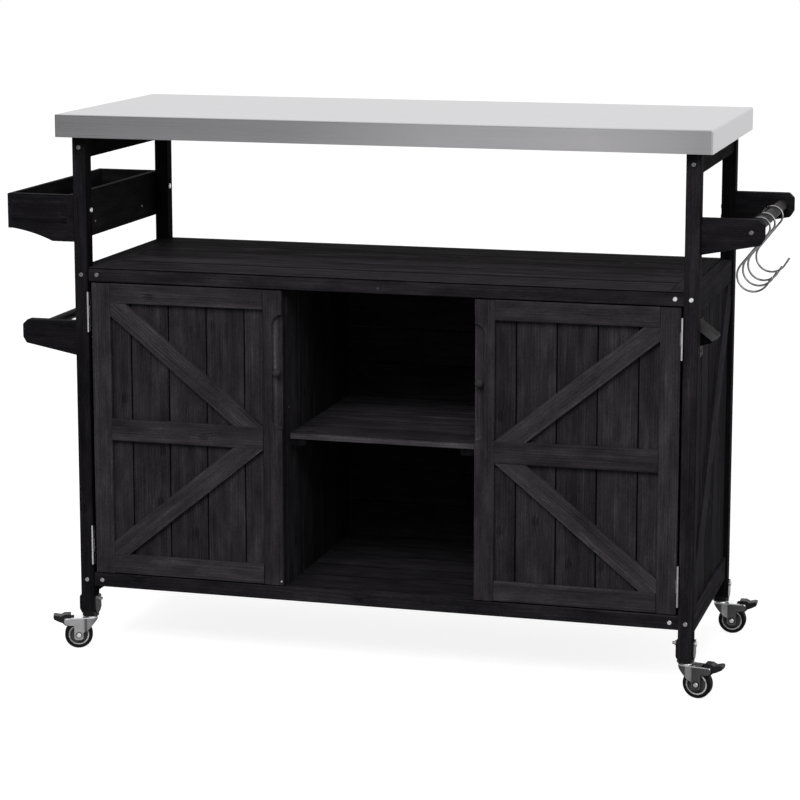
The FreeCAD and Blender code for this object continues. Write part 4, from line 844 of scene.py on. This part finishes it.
def moulded(name, colour, rough, grain, gloss):
    """Moulded plastic or rubber, with a fine skin of the given grain and some dust."""
    material, shader, place, normal = new_finish(name)
    x, y, z = place
    skin = x.noise(x.at(x * grain, y * grain, z * grain), 2.0)
    dust = x.noise(x.at(x * 70.0, y * 70.0, z * 70.0), 3.0, 0.6)
    level = 0.5 + (skin - 0.5) * 0.5 + (dust - 0.5) * 0.8
    stops = [(0.2, tuple(c * 0.75 for c in colour)), (0.8, tuple(c * 1.3 for c in colour))]
    mixed = x.node("ShaderNodeValToRGB", {"stops": stops}, {0: level.clamp()})
    bump = x.node("ShaderNodeBump", {}, {"Strength": 0.3, "Distance": 0.0001, "Height": skin})
    feed(shader, Base_Color=mixed, Roughness=(rough + (dust - 0.5) * 0.25).clamp(), Normal=bump)
    shader.inputs["Specular IOR Level"].default_value = gloss
    return material


hub_grey = moulded("hub_plastic", (0.050, 0.050, 0.052), 0.42, 1400.0, 0.25)
ring_grey = moulded("ring_plastic", (0.34, 0.34, 0.35), 0.38, 1100.0, 0.3)
pedal_black = moulded("pedal_plastic", (0.009, 0.009, 0.010), 0.42, 1600.0, 0.18)
tyre_black = moulded("tyre_rubber", (0.005, 0.005, 0.0055), 0.62, 1200.0, 0.10)

bpy.ops.object.select_all(action="DESELECT")
ring_wide = 0.0022
ring_flat = 0.36
ring_reach = 0.0172
ring_out = 0.0083
bpy.ops.mesh.primitive_plane_add(size=ring_wide, location=(0, 0, 0))
ring_model = bpy.context.object
bpy.ops.object.mode_set(mode="EDIT")
bpy.ops.mesh.select_all(action="SELECT")
bpy.ops.transform.resize(value=(1, ring_flat, 1))
bpy.ops.transform.translate(value=(ring_reach, -ring_out, 0))
bpy.ops.mesh.bevel(offset=0.00025, segments=2, affect="VERTICES")
bpy.ops.mesh.spin(steps=72, angle=math.tau, center=(0, 0, 0), axis=(0, 1, 0))
bpy.ops.mesh.select_all(action="SELECT")
bpy.ops.mesh.remove_doubles(threshold=0.00001)
bpy.ops.mesh.normals_make_consistent(inside=False)
bpy.ops.object.mode_set(mode="OBJECT")
bpy.ops.object.shade_smooth()

for wheel in (1, 2, 3, 4):
    body = "wheel_%d" % wheel
    dress(hub_grey, "caster_%d_hub" % wheel)
    dress(tyre_black, "caster_%d_tyre" % wheel)
    dress(pedal_black, "caster_%d_pedal" % wheel)
    roll = joints["caster_%d_roll" % wheel]
    axle = Vector(roll["axis"])
    heading = math.atan2(axle.y, axle.x) - math.pi / 2
    low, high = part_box("caster_%d_tyre" % wheel)
    centre = (low + high) / 2
    for face, turn in (("front", 0.0), ("back", math.pi)):
        ring = bpy.data.objects.new("wheel_%d_ring_%s" % (wheel, face), ring_model.data.copy())
        scene.collection.objects.link(ring)
        ring.data.transform(Matrix.Translation(centre) @ Matrix.Rotation(heading + turn, 4, "Z"))
        ring.data.materials.append(ring_grey)
        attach(ring, body)
bpy.data.objects.remove(ring_model)
